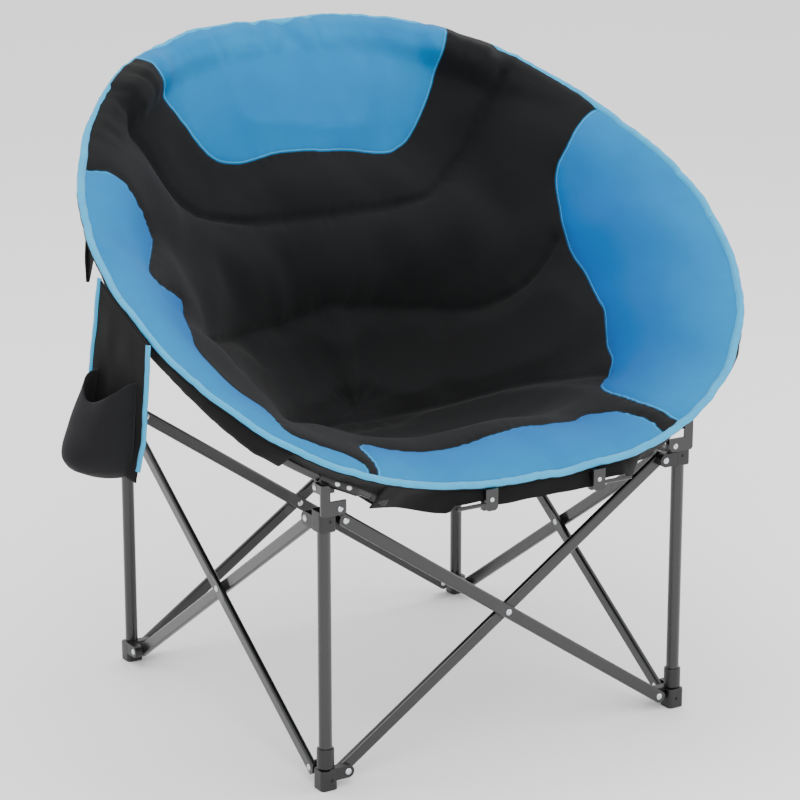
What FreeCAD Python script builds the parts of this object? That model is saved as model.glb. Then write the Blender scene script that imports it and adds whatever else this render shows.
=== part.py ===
import FreeCAD, Part
import math
import os

# Folding saucer chair, millimetres, +Z up, the front faces -Y, origin on the
# floor at the centre of the square of the four legs.

V = FreeCAD.Vector

# ---- driving dimensions ---------------------------------------------------
HALF = 300.0          # half the spacing of the leg axes, both ways
PIV = 30.0            # brace pivot from the leg axis
Z_FOOT = 23.0         # brace pivot height in the foot blocks
Z_HUB = 391.0         # brace pivot height in the hubs
BAR_T = 9.4           # brace thickness
BAR_H = 19.0          # brace depth
BAR_GAP = 0.4         # brace face to the leg plane
WEB_T = 12.9          # web thickness beside a brace
R_TUBE = 9.5          # outer leg tube and rear pole radius
R_TUBE_IN = 8.3
R_INNER = 8.0         # telescoping inner leg radius
R_INNER_IN = 6.8
BLOCK = 13.2          # half width of a foot block and of a hub
FOOT_TOP = 30.0
HUB_BOT, HUB_TOP = 379.0, 410.0
POLE_TOP = 892.0
R_RIM = 8.0           # rim tube radius
R_RIM_IN = 6.8
R_RIVET = 3.0
RIVET_HEAD = 4.8
RUN = 0.06            # radial running clearance of the rivets
PAD_T = 24.0          # thickness of the quilted seat
YOKE_X, YOKE_Z = 283.0, 412.0      # yoke rivet on the front hubs
SIDE_Z = 443.0                     # side rivet of the front rim bracket
TOP_X, TOP_Y, TOP_Z = 277.0, 277.0, 900.0   # ball of the pole-top knuckle
R_BALL = 5.0

FRONT_TUBE = [(222, -335, 421), (262, -317, 440), (300, -300, 455), (350, -296, 484),
              (403, -281, 520), (452, -218, 580), (482, -148, 637), (490, -105, 668)]
REAR_TUBE = [(490, -88, 680), (482, 0, 737), (455, 80, 787), (413, 151, 832),
             (363, 210, 872), (277, 277, 917), (183, 316, 944), (89, 328, 953), (30, 330, 954)]

os.makedirs("parts", exist_ok=True)


def put(name, shape):
    shape.exportStep("parts/%s.step" % name)


def cyl(r, p, d, h):
    return Part.makeCylinder(r, h, V(*p), V(*d))


def ring(ro, ri, z0, z1, x=0.0, y=0.0):
    return cyl(ro, (x, y, z0), (0, 0, 1), z1 - z0).cut(cyl(ri, (x, y, z0 - 1), (0, 0, 1), z1 - z0 + 2))


def box(x0, y0, z0, x1, y1, z1):
    return Part.makeBox(x1 - x0, y1 - y0, z1 - z0, V(x0, y0, z0))


def mirror_x(s):
    return s.mirror(V(0, 0, 0), V(1, 0, 0))


def one(s):
    """The single solid of a boolean result."""
    s = s.removeSplitter()
    return s.Solids[0] if len(s.Solids) == 1 else Part.makeCompound(s.Solids)


def group(items):
    solids = []
    for s in items:
        solids += s.Solids
    return Part.makeCompound(solids)


def soften(shape, r, pick):
    """Fillet the edges that pick() chooses, and keep the plain shape where it can't."""
    edges = [e for e in shape.Edges if pick(e)]
    try:
        out = shape.makeFillet(r, edges)
        if out.isValid() and out.Volume > 0.5 * shape.Volume:
            return out
    except Exception:
        pass
    return shape


# ---- bent tubes: straight runs joined by tangent arcs ----------------------
def route(points):
    pts = [V(*p) for p in points]
    edges = []
    last = pts[0]
    for i in range(1, len(pts) - 1):
        a, b, c = pts[i - 1], pts[i], pts[i + 1]
        u = (a - b)
        w = (c - b)
        run = 0.45 * min(u.Length, w.Length)
        u.normalize()
        w.normalize()
        turn = math.pi - u.getAngle(w)
        if turn < 0.004:
            continue
        p, q = b + u * run, b + w * run
        r = run / math.tan(turn / 2)
        bis = (u + w)
        bis.normalize()
        mid = b + bis * (r / math.cos(turn / 2) - r)
        if (p - last).Length > 1e-3:
            edges.append(Part.LineSegment(last, p).toShape())
        edges.append(Part.Arc(p, mid, q).toShape())
        last = q
    edges.append(Part.LineSegment(last, pts[-1]).toShape())
    return Part.Wire(edges)


def rod(points, r):
    wire = route(points)
    p0, p1 = V(*points[0]), V(*points[1])
    circle = Part.Wire([Part.Circle(p0, p1 - p0, r).toShape()])
    return wire.makePipeShell([circle], True, False)


def tube(points, ro, ri):
    return rod(points, ro).cut(rod(points, ri))


def left(points):
    return [(-p[0], p[1], p[2]) for p in points]


def shorten(points, a, b):
    """The route with its ends cut back by a and b."""
    pts = [V(*p) for p in points]
    d = pts[1] - pts[0]
    d.normalize()
    pts[0] = pts[0] + d * a
    d = pts[-2] - pts[-1]
    d.normalize()
    pts[-1] = pts[-1] + d * b
    return [tuple(p) for p in pts]


# ---- feet and hubs ---------------------------------------------------------
# Each corner has one web toward its X neighbour and one toward its Y
# neighbour. Going round the chair, one brace of every corner runs outside the
# leg plane and the other inside it, so all four corners are alike.
CORNERS = {"front_left": (-1, -1), "front_right": (1, -1), "rear_left": (-1, 1), "rear_right": (1, 1)}
# whether the brace toward the X neighbour and toward the Y neighbour is outside
FOOT_OUT = {"front_left": (False, True), "front_right": (True, False),
            "rear_right": (False, True), "rear_left": (True, False)}
HUB_OUT = {"front_left": (True, False), "front_right": (False, True),
           "rear_right": (True, False), "rear_left": (False, True)}


def web(sx, sy, along_x, outside, zc, rz):
    """Plastic web beside a brace end, in the corner's own place."""
    lo, hi = (-0.1, WEB_T) if outside else (-WEB_T, 0.1)   # measured inward from the leg plane
    if along_x:
        y_in = -sy
        y0, y1 = sorted((sy * HALF + y_in * lo, sy * HALF + y_in * hi))
        xp = sx * (HALF - PIV)
        plate = cyl(rz, (xp, y0, zc), (0, 1, 0), y1 - y0)
        arm = box(min(sx * HALF, xp), y0, zc - rz, max(sx * HALF, xp), y1, zc + rz)
        hole = cyl(R_RIVET, (xp, y0 - 1, zc), (0, 1, 0), y1 - y0 + 2)
    else:
        x_in = -sx
        x0, x1 = sorted((sx * HALF + x_in * lo, sx * HALF + x_in * hi))
        yp = sy * (HALF - PIV)
        plate = cyl(rz, (x0, yp, zc), (1, 0, 0), x1 - x0)
        arm = box(x0, min(sy * HALF, yp), zc - rz, x1, max(sy * HALF, yp), zc + rz)
        hole = cyl(R_RIVET, (x0 - 1, yp, zc), (1, 0, 0), x1 - x0 + 2)
    return plate.fuse(arm), hole


def rivet(sx, sy, along_x, outside, zc):
    """A rivet through a web and its brace, with a domed head on both sides."""
    if outside:
        lo, hi = -(BAR_GAP + BAR_T) - 0.35, WEB_T
    else:
        lo, hi = -WEB_T, BAR_GAP + BAR_T + 0.35
    if along_x:
        c = lambda d: (sx * (HALF - PIV), sy * HALF - sy * d, zc)
        n = V(0, -sy, 0)
    else:
        c = lambda d: (sx * HALF - sx * d, sy * (HALF - PIV), zc)
        n = V(-sx, 0, 0)
    return stud(V(*c(lo)), n, hi - lo)


def stud(p, n, length, r=R_RIVET, head=RIVET_HEAD, dome=2.2):
    """Shank from p along n with a dome outside each end."""
    n = V(n)
    n.normalize()
    s = Part.makeCylinder(r, length, p, n)
    for at, d in ((p, n * -1), (p + n * length, n)):
        rs = (head * head + dome * dome) / (2 * dome)
        ball = Part.makeSphere(rs, at + d * (dome - rs))
        keep = Part.makeCylinder(head, dome + 0.01, at, d)
        s = s.fuse(ball.common(keep))
    return one(s)


for corner, (sx, sy) in CORNERS.items():
    cx, cy = sx * HALF, sy * HALF
    front = sy < 0
    # foot block: the leg stands in it, the floor side is closed
    body = box(cx - BLOCK, cy - BLOCK, 0, cx + BLOCK, cy + BLOCK, FOOT_TOP)
    body = soften(body, 6.0, lambda e: abs(e.Vertexes[0].Z - e.Vertexes[-1].Z) > 20)
    body = soften(body, 1.5, lambda e: e.BoundBox.ZMax < 0.1 or e.BoundBox.ZMin > FOOT_TOP - 0.1)
    holes = []
    for k, along_x in enumerate((True, False)):
        outside = FOOT_OUT[corner][k]
        w, h = web(sx, sy, along_x, outside, Z_FOOT, 9.0)
        body = body.fuse(w)
        holes.append(h)
        # slot for the brace end where the block stands in its way
        lo, hi = (-(BAR_GAP + BAR_T) - 0.5, 0.0) if outside else (0.0, BAR_GAP + BAR_T + 0.5)
        if along_x:
            y0, y1 = sorted((cy - sy * lo, cy - sy * hi))
            xs = sorted((sx * (HALF - PIV), sx * (HALF - PIV + 13.0)))
            if outside:
                y0, y1 = (y0 - 5, y1) if sy < 0 else (y0, y1 + 5)
            body = body.cut(box(xs[0], y0, -1, xs[1], y1, 60))
        else:
            x0, x1 = sorted((cx - sx * lo, cx - sx * hi))
            ys = sorted((sy * (HALF - PIV), sy * (HALF - PIV + 13.0)))
            if outside:
                x0, x1 = (x0 - 5, x1) if sx < 0 else (x0, x1 + 5)
            body = body.cut(box(x0, ys[0], -1, x1, ys[1], 60))
    r_leg = R_INNER if front else R_TUBE
    holes.append(cyl(r_leg, (cx, cy, 6), (0, 0, 1), 80))
    # small screw dimple on the front face
    holes.append(cyl(2.6, (cx - sx * 2, cy - BLOCK - 1, 15.5), (0, 1, 0), 2.2))
    for h in holes:
        body = body.cut(h)
    put("foot_" + corner, one(body))

    # hub: socket of the outer leg tube in front, sliding on the pole behind
    hub = box(cx - BLOCK, cy - BLOCK, HUB_BOT, cx + BLOCK, cy + BLOCK, HUB_TOP)
    hub = soften(hub, 5.0, lambda e: abs(e.Vertexes[0].Z - e.Vertexes[-1].Z) > 20)
    hub = soften(hub, 2.5, lambda e: e.BoundBox.ZMax < HUB_BOT + 0.1)
    hub = soften(hub, 1.2, lambda e: e.BoundBox.ZMin > HUB_TOP - 0.1)
    holes = []
    for k, along_x in enumerate((True, False)):
        outside = HUB_OUT[corner][k]
        w, h = web(sx, sy, along_x, outside, Z_HUB, 10.0)
        hub = hub.fuse(w)
        holes.append(h)
        lo, hi = (-(BAR_GAP + BAR_T) - 0.5, 0.0) if outside else (0.0, BAR_GAP + BAR_T + 0.5)
        if along_x:
            y0, y1 = sorted((cy - sy * lo, cy - sy * hi))
            xs = sorted((sx * (HALF - PIV), sx * (HALF - PIV + 13.0)))
            if outside:
                y0, y1 = (y0 - 5, y1) if sy < 0 else (y0, y1 + 5)
            hub = hub.cut(box(xs[0], y0, 300, xs[1], y1, 500))
        else:
            x0, x1 = sorted((cx - sx * lo, cx - sx * hi))
            ys = sorted((sy * (HALF - PIV), sy * (HALF - PIV + 13.0)))
            if outside:
                x0, x1 = (x0 - 5, x1) if sx < 0 else (x0, x1 + 5)
            hub = hub.cut(box(x0, ys[0], 300, x1, ys[1], 500))
    if front:
        holes.append(cyl(R_TUBE, (cx, cy, 300), (0, 0, 1), HUB_TOP - 3 - 300))
        # ear with the yoke rivet
        xe = sx * YOKE_X
        ear = cyl(8.0, (xe, cy - BLOCK, YOKE_Z), (0, 1, 0), 10.0)
        ear = ear.fuse(box(xe - 8, cy - BLOCK, HUB_TOP - 6.8, xe + 8, cy - BLOCK + 10.0, YOKE_Z))
        hub = hub.fuse(ear)
        holes.append(cyl(2.5, (xe, cy - 20, YOKE_Z), (0, 1, 0), 25))
    else:
        holes.append(cyl(R_TUBE + 0.3, (cx, cy, 300), (0, 0, 1), 200))
    holes.append(cyl(2.4, (cx - sx * 2, cy - BLOCK - 1, 395), (0, 1, 0), 2.2))
    for h in holes:
        hub = hub.cut(h)
    put("hub_" + corner, one(hub))

    put("foot_rivets_" + corner, group([rivet(sx, sy, True, FOOT_OUT[corner][0], Z_FOOT),
                                        rivet(sx, sy, False, FOOT_OUT[corner][1], Z_FOOT)]))
    hr = [rivet(sx, sy, True, HUB_OUT[corner][0], Z_HUB), rivet(sx, sy, False, HUB_OUT[corner][1], Z_HUB)]
    if front:
        hr.append(stud(V(sx * YOKE_X, cy - BLOCK - 4.1, YOKE_Z), V(0, 1, 0), 14.1, 2.5, 4.2, 1.8))
    put("hub_rivets_" + corner, group(hr))

    # legs
    if front:
        put("inner_leg_" + corner, ring(R_INNER, R_INNER_IN, 6, 372, cx, cy))
        put("outer_leg_" + corner, ring(R_TUBE, R_TUBE_IN, 33.5, HUB_TOP - 3, cx, cy))
        collar = ring(12.3, R_TUBE, 32.5, 61, cx, cy)
        collar = soften(collar, 1.6, lambda e: e.BoundBox.ZMin > 60.9 and e.BoundBox.XLength > 24)
        put("leg_collar_" + corner, collar)
    else:
        put("rear_pole_" + corner.split("_")[1], ring(R_TUBE, R_TUBE_IN, 6, POLE_TOP, cx, cy))


# ---- braces ----------------------------------------------------------------
def brace(p_foot, p_hub, y_mid):
    """Flat oval tube between two pivots of the XZ plane, centred on y_mid.
    It is pressed flat on the face toward its partner where they cross."""
    dx, dz = p_hub[0] - p_foot[0], p_hub[1] - p_foot[1]
    L = math.hypot(dx, dz)
    end = 10.5
    s = Part.makeBox(L + 2 * end, BAR_T, BAR_H, V(-end, -BAR_T / 2, -BAR_H / 2))
    s = soften(s, 3.6, lambda e: e.BoundBox.XLength > L)
    # rounded ends
    blank = box(-end, -20, -20, L + end, 20, 20)
    round_ = box(0, -20, -20, L, 20, 20)
    round_ = round_.fuse(cyl(end, (0, -20, 0), (0, 1, 0), 40)).fuse(cyl(end, (L, -20, 0), (0, 1, 0), 40))
    s = s.cut(blank.cut(round_))
    # pressed flats: shallow hollows at the middle, both faces
    for sgn in (-1, 1):
        s = s.cut(cyl(260.0, (L / 2, sgn * (BAR_T / 2 + 260.0 - 1.3), -30), (0, 0, 1), 60))
    for x in (0.0, L / 2, L):
        s = s.cut(cyl(R_RIVET + RUN, (x, -20, 0), (0, 1, 0), 40))
    s.rotate(V(0, 0, 0), V(0, 1, 0), -math.degrees(math.atan2(dz, dx)))
    s.translate(V(p_foot[0], y_mid, p_foot[1]))
    return s


A0 = HALF - PIV
OFF = BAR_GAP + BAR_T / 2


def side_brace(side, kind):
    """Brace of one side. kind 'up' starts at the first corner's foot going
    round the chair, kind 'down' at its hub."""
    inner = {"front_up": True, "front_down": False, "left_up": False, "left_down": True,
             "rear_up": False, "rear_down": True, "right_up": True, "right_down": False}[side + "_" + kind]
    if side in ("front", "rear"):
        sy = -1 if side == "front" else 1
        y = sy * (HALF - OFF) if inner else sy * (HALF + OFF)
        if kind == "up":
            return brace((-A0, Z_FOOT), (A0, Z_HUB), y)
        return brace((-A0, Z_HUB), (A0, Z_FOOT), y)
    sx = -1 if side == "left" else 1
    x = (HALF - OFF) if inner else (HALF + OFF)
    if kind == "up":
        s = brace((-A0, Z_FOOT), (A0, Z_HUB), 0)
    else:
        s = brace((-A0, Z_HUB), (A0, Z_FOOT), 0)
    s.rotate(V(0, 0, 0), V(0, 0, 1), 90)      # +X goes to +Y
    s.translate(V(sx * x, 0, 0))
    return s


NAMES = {("front", "up"): "brace_front_a", ("front", "down"): "brace_front_b",
         ("left", "up"): "brace_left_c", ("left", "down"): "brace_left_d",
         ("rear", "up"): "brace_rear_f", ("rear", "down"): "brace_rear_e",
         ("right", "up"): "brace_right_g", ("right", "down"): "brace_right_h"}
for (side, kind), name in NAMES.items():
    put(name, side_brace(side, kind))

Z_MID = (Z_FOOT + Z_HUB) / 2
reach = BAR_GAP + BAR_T - 1.3 + 0.3
put("rivet_front_crossing", stud(V(0, -HALF - reach, Z_MID), V(0, 1, 0), 2 * reach))
put("rivet_rear_crossing", stud(V(0, HALF - reach, Z_MID), V(0, 1, 0), 2 * reach))
put("rivet_left_crossing", stud(V(-HALF - reach, 0, Z_MID), V(1, 0, 0), 2 * reach))
put("rivet_right_crossing", stud(V(HALF - reach, 0, Z_MID), V(1, 0, 0), 2 * reach))

# ---- front rim: yoke, bracket, tube, end cap -------------------------------
YF0, YF1 = -HALF - BLOCK - 3.8, -HALF - BLOCK - 0.4      # front plate, ahead of the hub
yoke = box(-314.0, YF0, 403.5, -274, YF1, 424).fuse(box(-314.0, YF0, 420, -299, YF1, 448))
yoke = soften(yoke, 5.0, lambda e: e.BoundBox.YLength > 3 and e.BoundBox.XLength < 0.1 and e.BoundBox.ZLength < 0.1
              and not (e.BoundBox.XMin > -300 and e.BoundBox.ZMin > 423 and e.BoundBox.ZMin < 425))
side_plate = box(-314.0, YF0, 436, -310.6, -HALF, 449).fuse(cyl(7.5, (-314.0, -HALF, SIDE_Z), (1, 0, 0), 3.4))
yoke = yoke.fuse(side_plate)
yoke = yoke.cut(cyl(2.5 + RUN, (-283, -330, YOKE_Z), (0, 1, 0), 40))
yoke = yoke.cut(cyl(2.5 + RUN, (-330, -HALF, SIDE_Z), (1, 0, 0), 40))
yoke = one(yoke)

ft = left(FRONT_TUBE)
near = ft[:5]
path_clamp = [ft[0], ft[1], ft[2], ft[3]]


def near_plane_cut(s, x0, x1):
    """The part of a solid between two planes of constant X."""
    return s.common(box(x0, -500, 300, x1, 0, 700))


clamp = near_plane_cut(rod(ft, 11.0), -310.1, -262)
block = box(-310.1, -309.0, 434, -288, -291.0, 457)
block = soften(block, 3.0, lambda e: e.BoundBox.XLength > 20 and e.BoundBox.ZMax < 434)
clamp = clamp.fuse(block)
clamp = clamp.cut(rod(ft, R_RIM))
clamp = clamp.cut(cyl(2.5, (-330, -HALF, SIDE_Z), (1, 0, 0), 29))
side_rivet = stud(V(-314.4, -HALF, SIDE_Z), V(1, 0, 0), 13.4, 2.5, 4.2, 1.8)
bracket_rivets = [one(side_rivet.common(box(-330, -310, 430, -301.0, -290, 456)))]
# two tube screws through the clamp, square to the tube
wire = route(ft)
for px_ in (-269.0, -284.0):
    best = None
    for e in wire.Edges:
        for k in range(41):
            t = e.FirstParameter + (e.LastParameter - e.FirstParameter) * k / 40.0
            p = e.valueAt(t)
            if best is None or abs(p.x - px_) < abs(best[0].x - px_):
                best = (p, e.tangentAt(t))
    p, t = best
    n = t.cross(V(0, 0, 1))
    n.normalize()
    if n.y > 0:
        n = n * -1
    drill = Part.makeCylinder(2.02, 14.0, p + n * 3, n)
    clamp = clamp.cut(drill)
    head = stud(p + n * 8.3, n, 3.0, 2.0, 3.8, 1.5)
    keep = Part.makeCylinder(5.0, 8.0, p + n * 8.3, n)
    bracket_rivets.append(one(head.common(keep)))
clamp = one(clamp)

front_tube = tube(ft, R_RIM, R_RIM_IN)
e0, e1 = V(*ft[0]), V(*ft[1])
d = e1 - e0
d.normalize()
cap = Part.makeCylinder(9.4, 24.0, e0 - d * 2.5, d)
cap = soften(cap, 3.0, lambda e: (e.CenterOfMass - (e0 - d * 2.5)).Length < 0.5)
cap = cap.cut(Part.makeCylinder(R_RIM, 30.0, e0, d))
for side, f in (("left", lambda s: s), ("right", mirror_x)):
    put("rim_yoke_" + side, f(yoke))
    put("rim_bracket_" + side, f(clamp))
    put("rim_bracket_rivets_" + side, f(group(bracket_rivets)))
    put("front_rim_tube_" + side, f(front_tube))
    put("rim_end_cap_" + side, f(cap))

# ---- rear rim: arcs, knuckles, saddles -------------------------------------
rt = left(REAR_TUBE)
rear_tube = tube(rt, R_RIM, R_RIM_IN)
T = V(-TOP_X, TOP_Y, TOP_Z)
# knuckle: cap over the pole top with an arm to the ball
knuckle = cyl(12.6, (-HALF, HALF, 868), (0, 0, 1), 27).cut(cyl(R_TUBE, (-HALF, HALF, 860), (0, 0, 1), POLE_TOP - 860))
knuckle = soften(knuckle, 2.5, lambda e: e.BoundBox.ZMin > 894.9)
arm_a, arm_b = V(-291, 291, 880), V(-281.5, 281.5, 894.5)
arm = Part.makeCone(8.0, 3.4, (arm_b - arm_a).Length, arm_a, arm_b - arm_a)
stem = Part.makeCylinder(3.4, (T - arm_b).Length, arm_b, T - arm_b)
knuckle = knuckle.fuse(arm).fuse(stem).fuse(Part.makeSphere(R_BALL, T))
knuckle = knuckle.cut(cyl(R_TUBE, (-HALF, HALF, 860), (0, 0, 1), POLE_TOP - 860))
knuckle = one(knuckle)

# saddle: clamp on the arc with the socket over the ball's upper side
band = rod(rt, 10.6).common(box(-312, 200, 880, -244, 330, 960))
cup_dir = V(0.0, 0.0, 1.0)
cup = Part.makeSphere(9.4, T)
cup = cup.common(box(-300, 250, TOP_Z + 0.6, -250, 300, 960))
saddle = band.fuse(cup)
saddle = saddle.cut(Part.makeSphere(R_BALL + 0.08, T))
saddle = saddle.cut(rod(rt, R_RIM))
saddle = one(saddle)
for side, f in (("left", lambda s: s), ("right", mirror_x)):
    put("rear_rim_tube_" + side, f(rear_tube))
    put("pole_top_knuckle_" + side, f(knuckle))
    put("rim_saddle_" + side, f(saddle))

# ---- seat surface ----------------------------------------------------------
RIM_C = (438.2, 41.2, -65.8, -17.7, -5.6, 3.5)
ORG = (-27.0, 703.5)                      # y, z of the tilted frame's origin
S_Y, S_Z, N_Y, N_Z = 0.8048, 0.5933, -0.5933, 0.8048
S_CENTRE = -60.0
D_CENTRE = 325.0
PH_K = [0, 30, 60, 90, 104, 125, 150, 180]
Q_K = [0.0, 0.12, 0.25, 0.35, 0.45, 0.55, 0.65, 0.75, 0.85, 0.93, 1.0]
DEPTH = [
    [325, 318, 292, 258, 208, 143, 72, 20, 8, 3, 0],
    [335, 328, 303, 272, 228, 172, 108, 52, 20, 7, 0],
    [361, 355, 333, 302, 255, 198, 140, 85, 40, 14, 0],
    [354, 348, 325, 292, 245, 190, 133, 80, 38, 13, 0],
    [343, 337, 312, 278, 230, 176, 132, 80, 26, 8, 0],
    [331, 322, 290, 238, 172, 136, 124, 100, 56, 22, 0],
    [327, 312, 262, 197, 142, 118, 100, 72, 42, 18, 0],
    [325, 300, 240, 183, 128, 105, 84, 60, 36, 17, 0]]


def rim_point(ph):
    a = math.radians(ph)
    R = sum(c * math.cos(k * a) for k, c in enumerate(RIM_C))
    x, y = R * math.sin(a), -R * math.cos(a)
    X, Y = x / 450.0, y / 350.0
    z = 725.9 + 254.1 * Y - 1.9 * Y * Y + 27 * X * X + 3.5 * Y ** 3 - 21.5 * X * X * Y
    return x, y, z


def to_tilt(p):
    y, z = p[1] - ORG[0], p[2] - ORG[1]
    return p[0], y * S_Y + z * S_Z, y * N_Y + z * N_Z


def from_tilt(x, s, dd):
    return V(x, ORG[0] + s * S_Y + dd * N_Y, ORG[1] + s * S_Z + dd * N_Z)


def hermite(xs, ys, x):
    """Monotone cubic through the points."""
    n = len(xs)
    if x <= xs[0]:
        return ys[0]
    if x >= xs[-1]:
        return ys[-1]
    i = 0
    while x > xs[i + 1]:
        i += 1
    h = [xs[k + 1] - xs[k] for k in range(n - 1)]
    dl = [(ys[k + 1] - ys[k]) / h[k] for k in range(n - 1)]

    def slope(k):
        if k == 0:
            return dl[0]
        if k == n - 1:
            return dl[-1]
        if dl[k - 1] * dl[k] <= 0:
            return 0.0
        w1, w2 = 2 * h[k] + h[k - 1], h[k] + 2 * h[k - 1]
        return (w1 + w2) / (w1 / dl[k - 1] + w2 / dl[k])
    m0, m1 = slope(i), slope(i + 1)
    t = (x - xs[i]) / h[i]
    return ((2 * t ** 3 - 3 * t * t + 1) * ys[i] + (t ** 3 - 2 * t * t + t) * h[i] * m0
            + (-2 * t ** 3 + 3 * t * t) * ys[i + 1] + (t ** 3 - t * t) * h[i] * m1)


RIM_T = [to_tilt(rim_point(a)) for a in range(0, 181)]
RIM_ANG = [math.degrees(math.atan2(p[0], -(p[1] - S_CENTRE))) for p in RIM_T]


def seat_top(x, s):
    """Depth of the seat's upper face in the tilted frame, at (x, s)."""
    ang = math.degrees(math.atan2(abs(x), -(s - S_CENTRE)))
    i = 0
    while i < 179 and RIM_ANG[i + 1] < ang:
        i += 1
    f = (ang - RIM_ANG[i]) / (RIM_ANG[i + 1] - RIM_ANG[i])
    f = min(1.0, max(0.0, f))
    a, b = RIM_T[i], RIM_T[i + 1]
    rx, rs, rd = (a[0] + f * (b[0] - a[0]), a[1] + f * (b[1] - a[1]), a[2] + f * (b[2] - a[2]))
    q = math.hypot(x, s - S_CENTRE) / math.hypot(rx, rs - S_CENTRE)
    ph = i + f
    depth = hermite(PH_K, [hermite(Q_K, row, min(q, 1.0)) for row in DEPTH], ph)
    base = D_CENTRE + rd
    # the depth below the rim's own level blends into the common centre depth
    row0 = hermite(PH_K, [row[0] for row in DEPTH], ph)
    return rd - depth * base / row0, q


def near_rim(points, k):
    """The route moved from the tube centre toward the seat's edge."""
    out = []
    for (x, y, z) in points:
        ph = min(range(0, 1801), key=lambda a: sum((u - w) ** 2 for u, w in zip(rim_point(a / 10.0), (abs(x), y, z)))) / 10.0
        r = rim_point(ph)
        sg = -1 if x < 0 else 1
        out.append((x + k * (sg * r[0] - x), y + k * (r[1] - y), z + k * (r[2] - z)))
    return out


SLEEVE_R = 15.0
SLEEVE_LINE = near_rim(FRONT_TUBE[4:], 0.30) + near_rim(REAR_TUBE, 0.30) + [(0, 331, 954.5)]
SLEEVE_PTS = []
for p_, q_ in zip(SLEEVE_LINE[:-1], SLEEVE_LINE[1:]):
    for k_ in range(12):
        SLEEVE_PTS.append(V(*p_) + (V(*q_) - V(*p_)) * (k_ / 12.0))
POLE_PTS = [V(HALF, HALF, z_) for z_ in range(700, 900, 8)] + [V(288, 288, 890), V(TOP_X, TOP_Y, TOP_Z)]


def edge_q(ph):
    """How far out the pad may reach at this place and stay clear of the
    sleeve and of the pole's top."""
    a = to_tilt(rim_point(ph))
    q = 0.97
    while q > 0.8:
        x, s_ = a[0] * q, S_CENTRE + (a[1] - S_CENTRE) * q
        dd, qq = seat_top(x, s_)
        ok = True
        for p in (upper(x, s_, dd, qq), lower(x, s_, dd, qq)):
            if min((p - k).Length for k in SLEEVE_PTS) < SLEEVE_R + 3.0 or min((p - k).Length for k in POLE_PTS) < 22.0:
                ok = False
                break
        if ok:
            return q
        q -= 0.01
    return q


def upper(x, s, dd, q):
    return from_tilt(x, s, dd)


def lower(x, s, dd, q):
    h = 4.0
    gx = (seat_top(x + h, s)[0] - seat_top(x - h, s)[0]) / (2 * h)
    gs = (seat_top(x, s + h)[0] - seat_top(x, s - h)[0]) / (2 * h)
    m = math.sqrt(1 + gx * gx + gs * gs)
    t = PAD_T * (1.0 if q < 0.75 else 1.0 - 0.55 * (q - 0.75) / 0.25)
    return from_tilt(x + gx / m * t, s + gs / m * t, dd - t / m)


EDGE_K = list(range(0, 181, 6))
raw_ = [0.985 if k < 28 else edge_q(k) for k in EDGE_K]
EDGE_V = []
for i_ in range(len(raw_)):
    lo_ = min(raw_[max(0, i_ - 1):i_ + 2])
    EDGE_V.append(lo_)
print("pad edge", [round(v, 2) for v in EDGE_V])


def q_edge(ph):
    """Where the pad ends: beside the rim tube, or at the edge in front."""
    return hermite(EDGE_K, EDGE_V, ph)


def pad_grid(offset_fn, n=19):
    grid = []
    for j in range(n):
        row = []
        for i in range(n):
            a, b = -1 + 2.0 * i / (n - 1), -1 + 2.0 * j / (n - 1)
            u, w = a * math.sqrt(1 - b * b / 2), b * math.sqrt(1 - a * a / 2)
            rad = math.hypot(u, w)
            ang = math.degrees(math.atan2(abs(u), -w)) if rad > 1e-9 else 0.0
            rp = to_tilt(rim_point(ang))
            # the rim point in this direction of the disc, then inward by rad
            qe = q_edge(ang)
            sx_ = -1 if u < 0 else 1
            x = sx_ * rp[0] * rad * qe
            s = S_CENTRE + (rp[1] - S_CENTRE) * rad * qe
            dd, q = seat_top(x, s)
            row.append(offset_fn(x, s, dd, q))
        grid.append(row)
    return grid


def facets(top, bot):
    """Closed solid of small flat facets between two grids of points."""
    n = len(top)
    faces = []

    def tri(a, b, c):
        faces.append(Part.Face(Part.makePolygon([a, b, c, a])))

    def quad(a, b, c, d):
        if (a - c).Length < (b - d).Length:
            tri(a, b, c)
            tri(a, c, d)
        else:
            tri(a, b, d)
            tri(b, c, d)
    for g in (top, bot):
        for j in range(n - 1):
            for i in range(n - 1):
                quad(g[j][i], g[j][i + 1], g[j + 1][i + 1], g[j + 1][i])
    loop = [(0, i) for i in range(n)] + [(j, n - 1) for j in range(1, n)] \
        + [(n - 1, i) for i in range(n - 2, -1, -1)] + [(j, 0) for j in range(n - 2, 0, -1)]
    for (j0, i0), (j1, i1) in zip(loop, loop[1:] + loop[:1]):
        quad(top[j0][i0], top[j1][i1], bot[j1][i1], bot[j0][i0])
    shell = Part.makeShell(faces)
    shell.sewShape()
    return Part.Solid(shell if shell.ShapeType == "Shell" else shell.Shells[0])


pad = facets(pad_grid(upper), pad_grid(lower))
if pad.Volume < 0:
    pad.reverse()
print("pad valid", pad.isValid(), "volume", round(pad.Volume / 1e6, 3), "litres")

# leave room for the front rim tubes, brackets and yokes
room = rod(shorten(ft, -14.0, -6.0), 15.5)
for k in (room, mirror_x(room)):
    pad = pad.cut(k)
for sgn in (-1, 1):
    x0, x1 = sorted((sgn * 262.0, sgn * 332.0))
    pad = pad.cut(box(x0, -322, 380, x1, -276, 464))
# ---- the seam where the seat folds -----------------------------------------
SEAM = V(0, 100, 360)
ALONG = V(0, -198, 315)
ALONG.normalize()
NRM = V(0, ALONG.z, -ALONG.y)            # toward the back rest


def half_space(side):
    """Large block on one side of the seam, 0.4 mm short of it."""
    b = Part.makeBox(1400, 1400, 1400, V(-700, -700, 0.4))
    n = NRM * side
    b.Placement = FreeCAD.Placement(SEAM, FreeCAD.Rotation(V(0, 0, 1), n))
    return b


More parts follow.
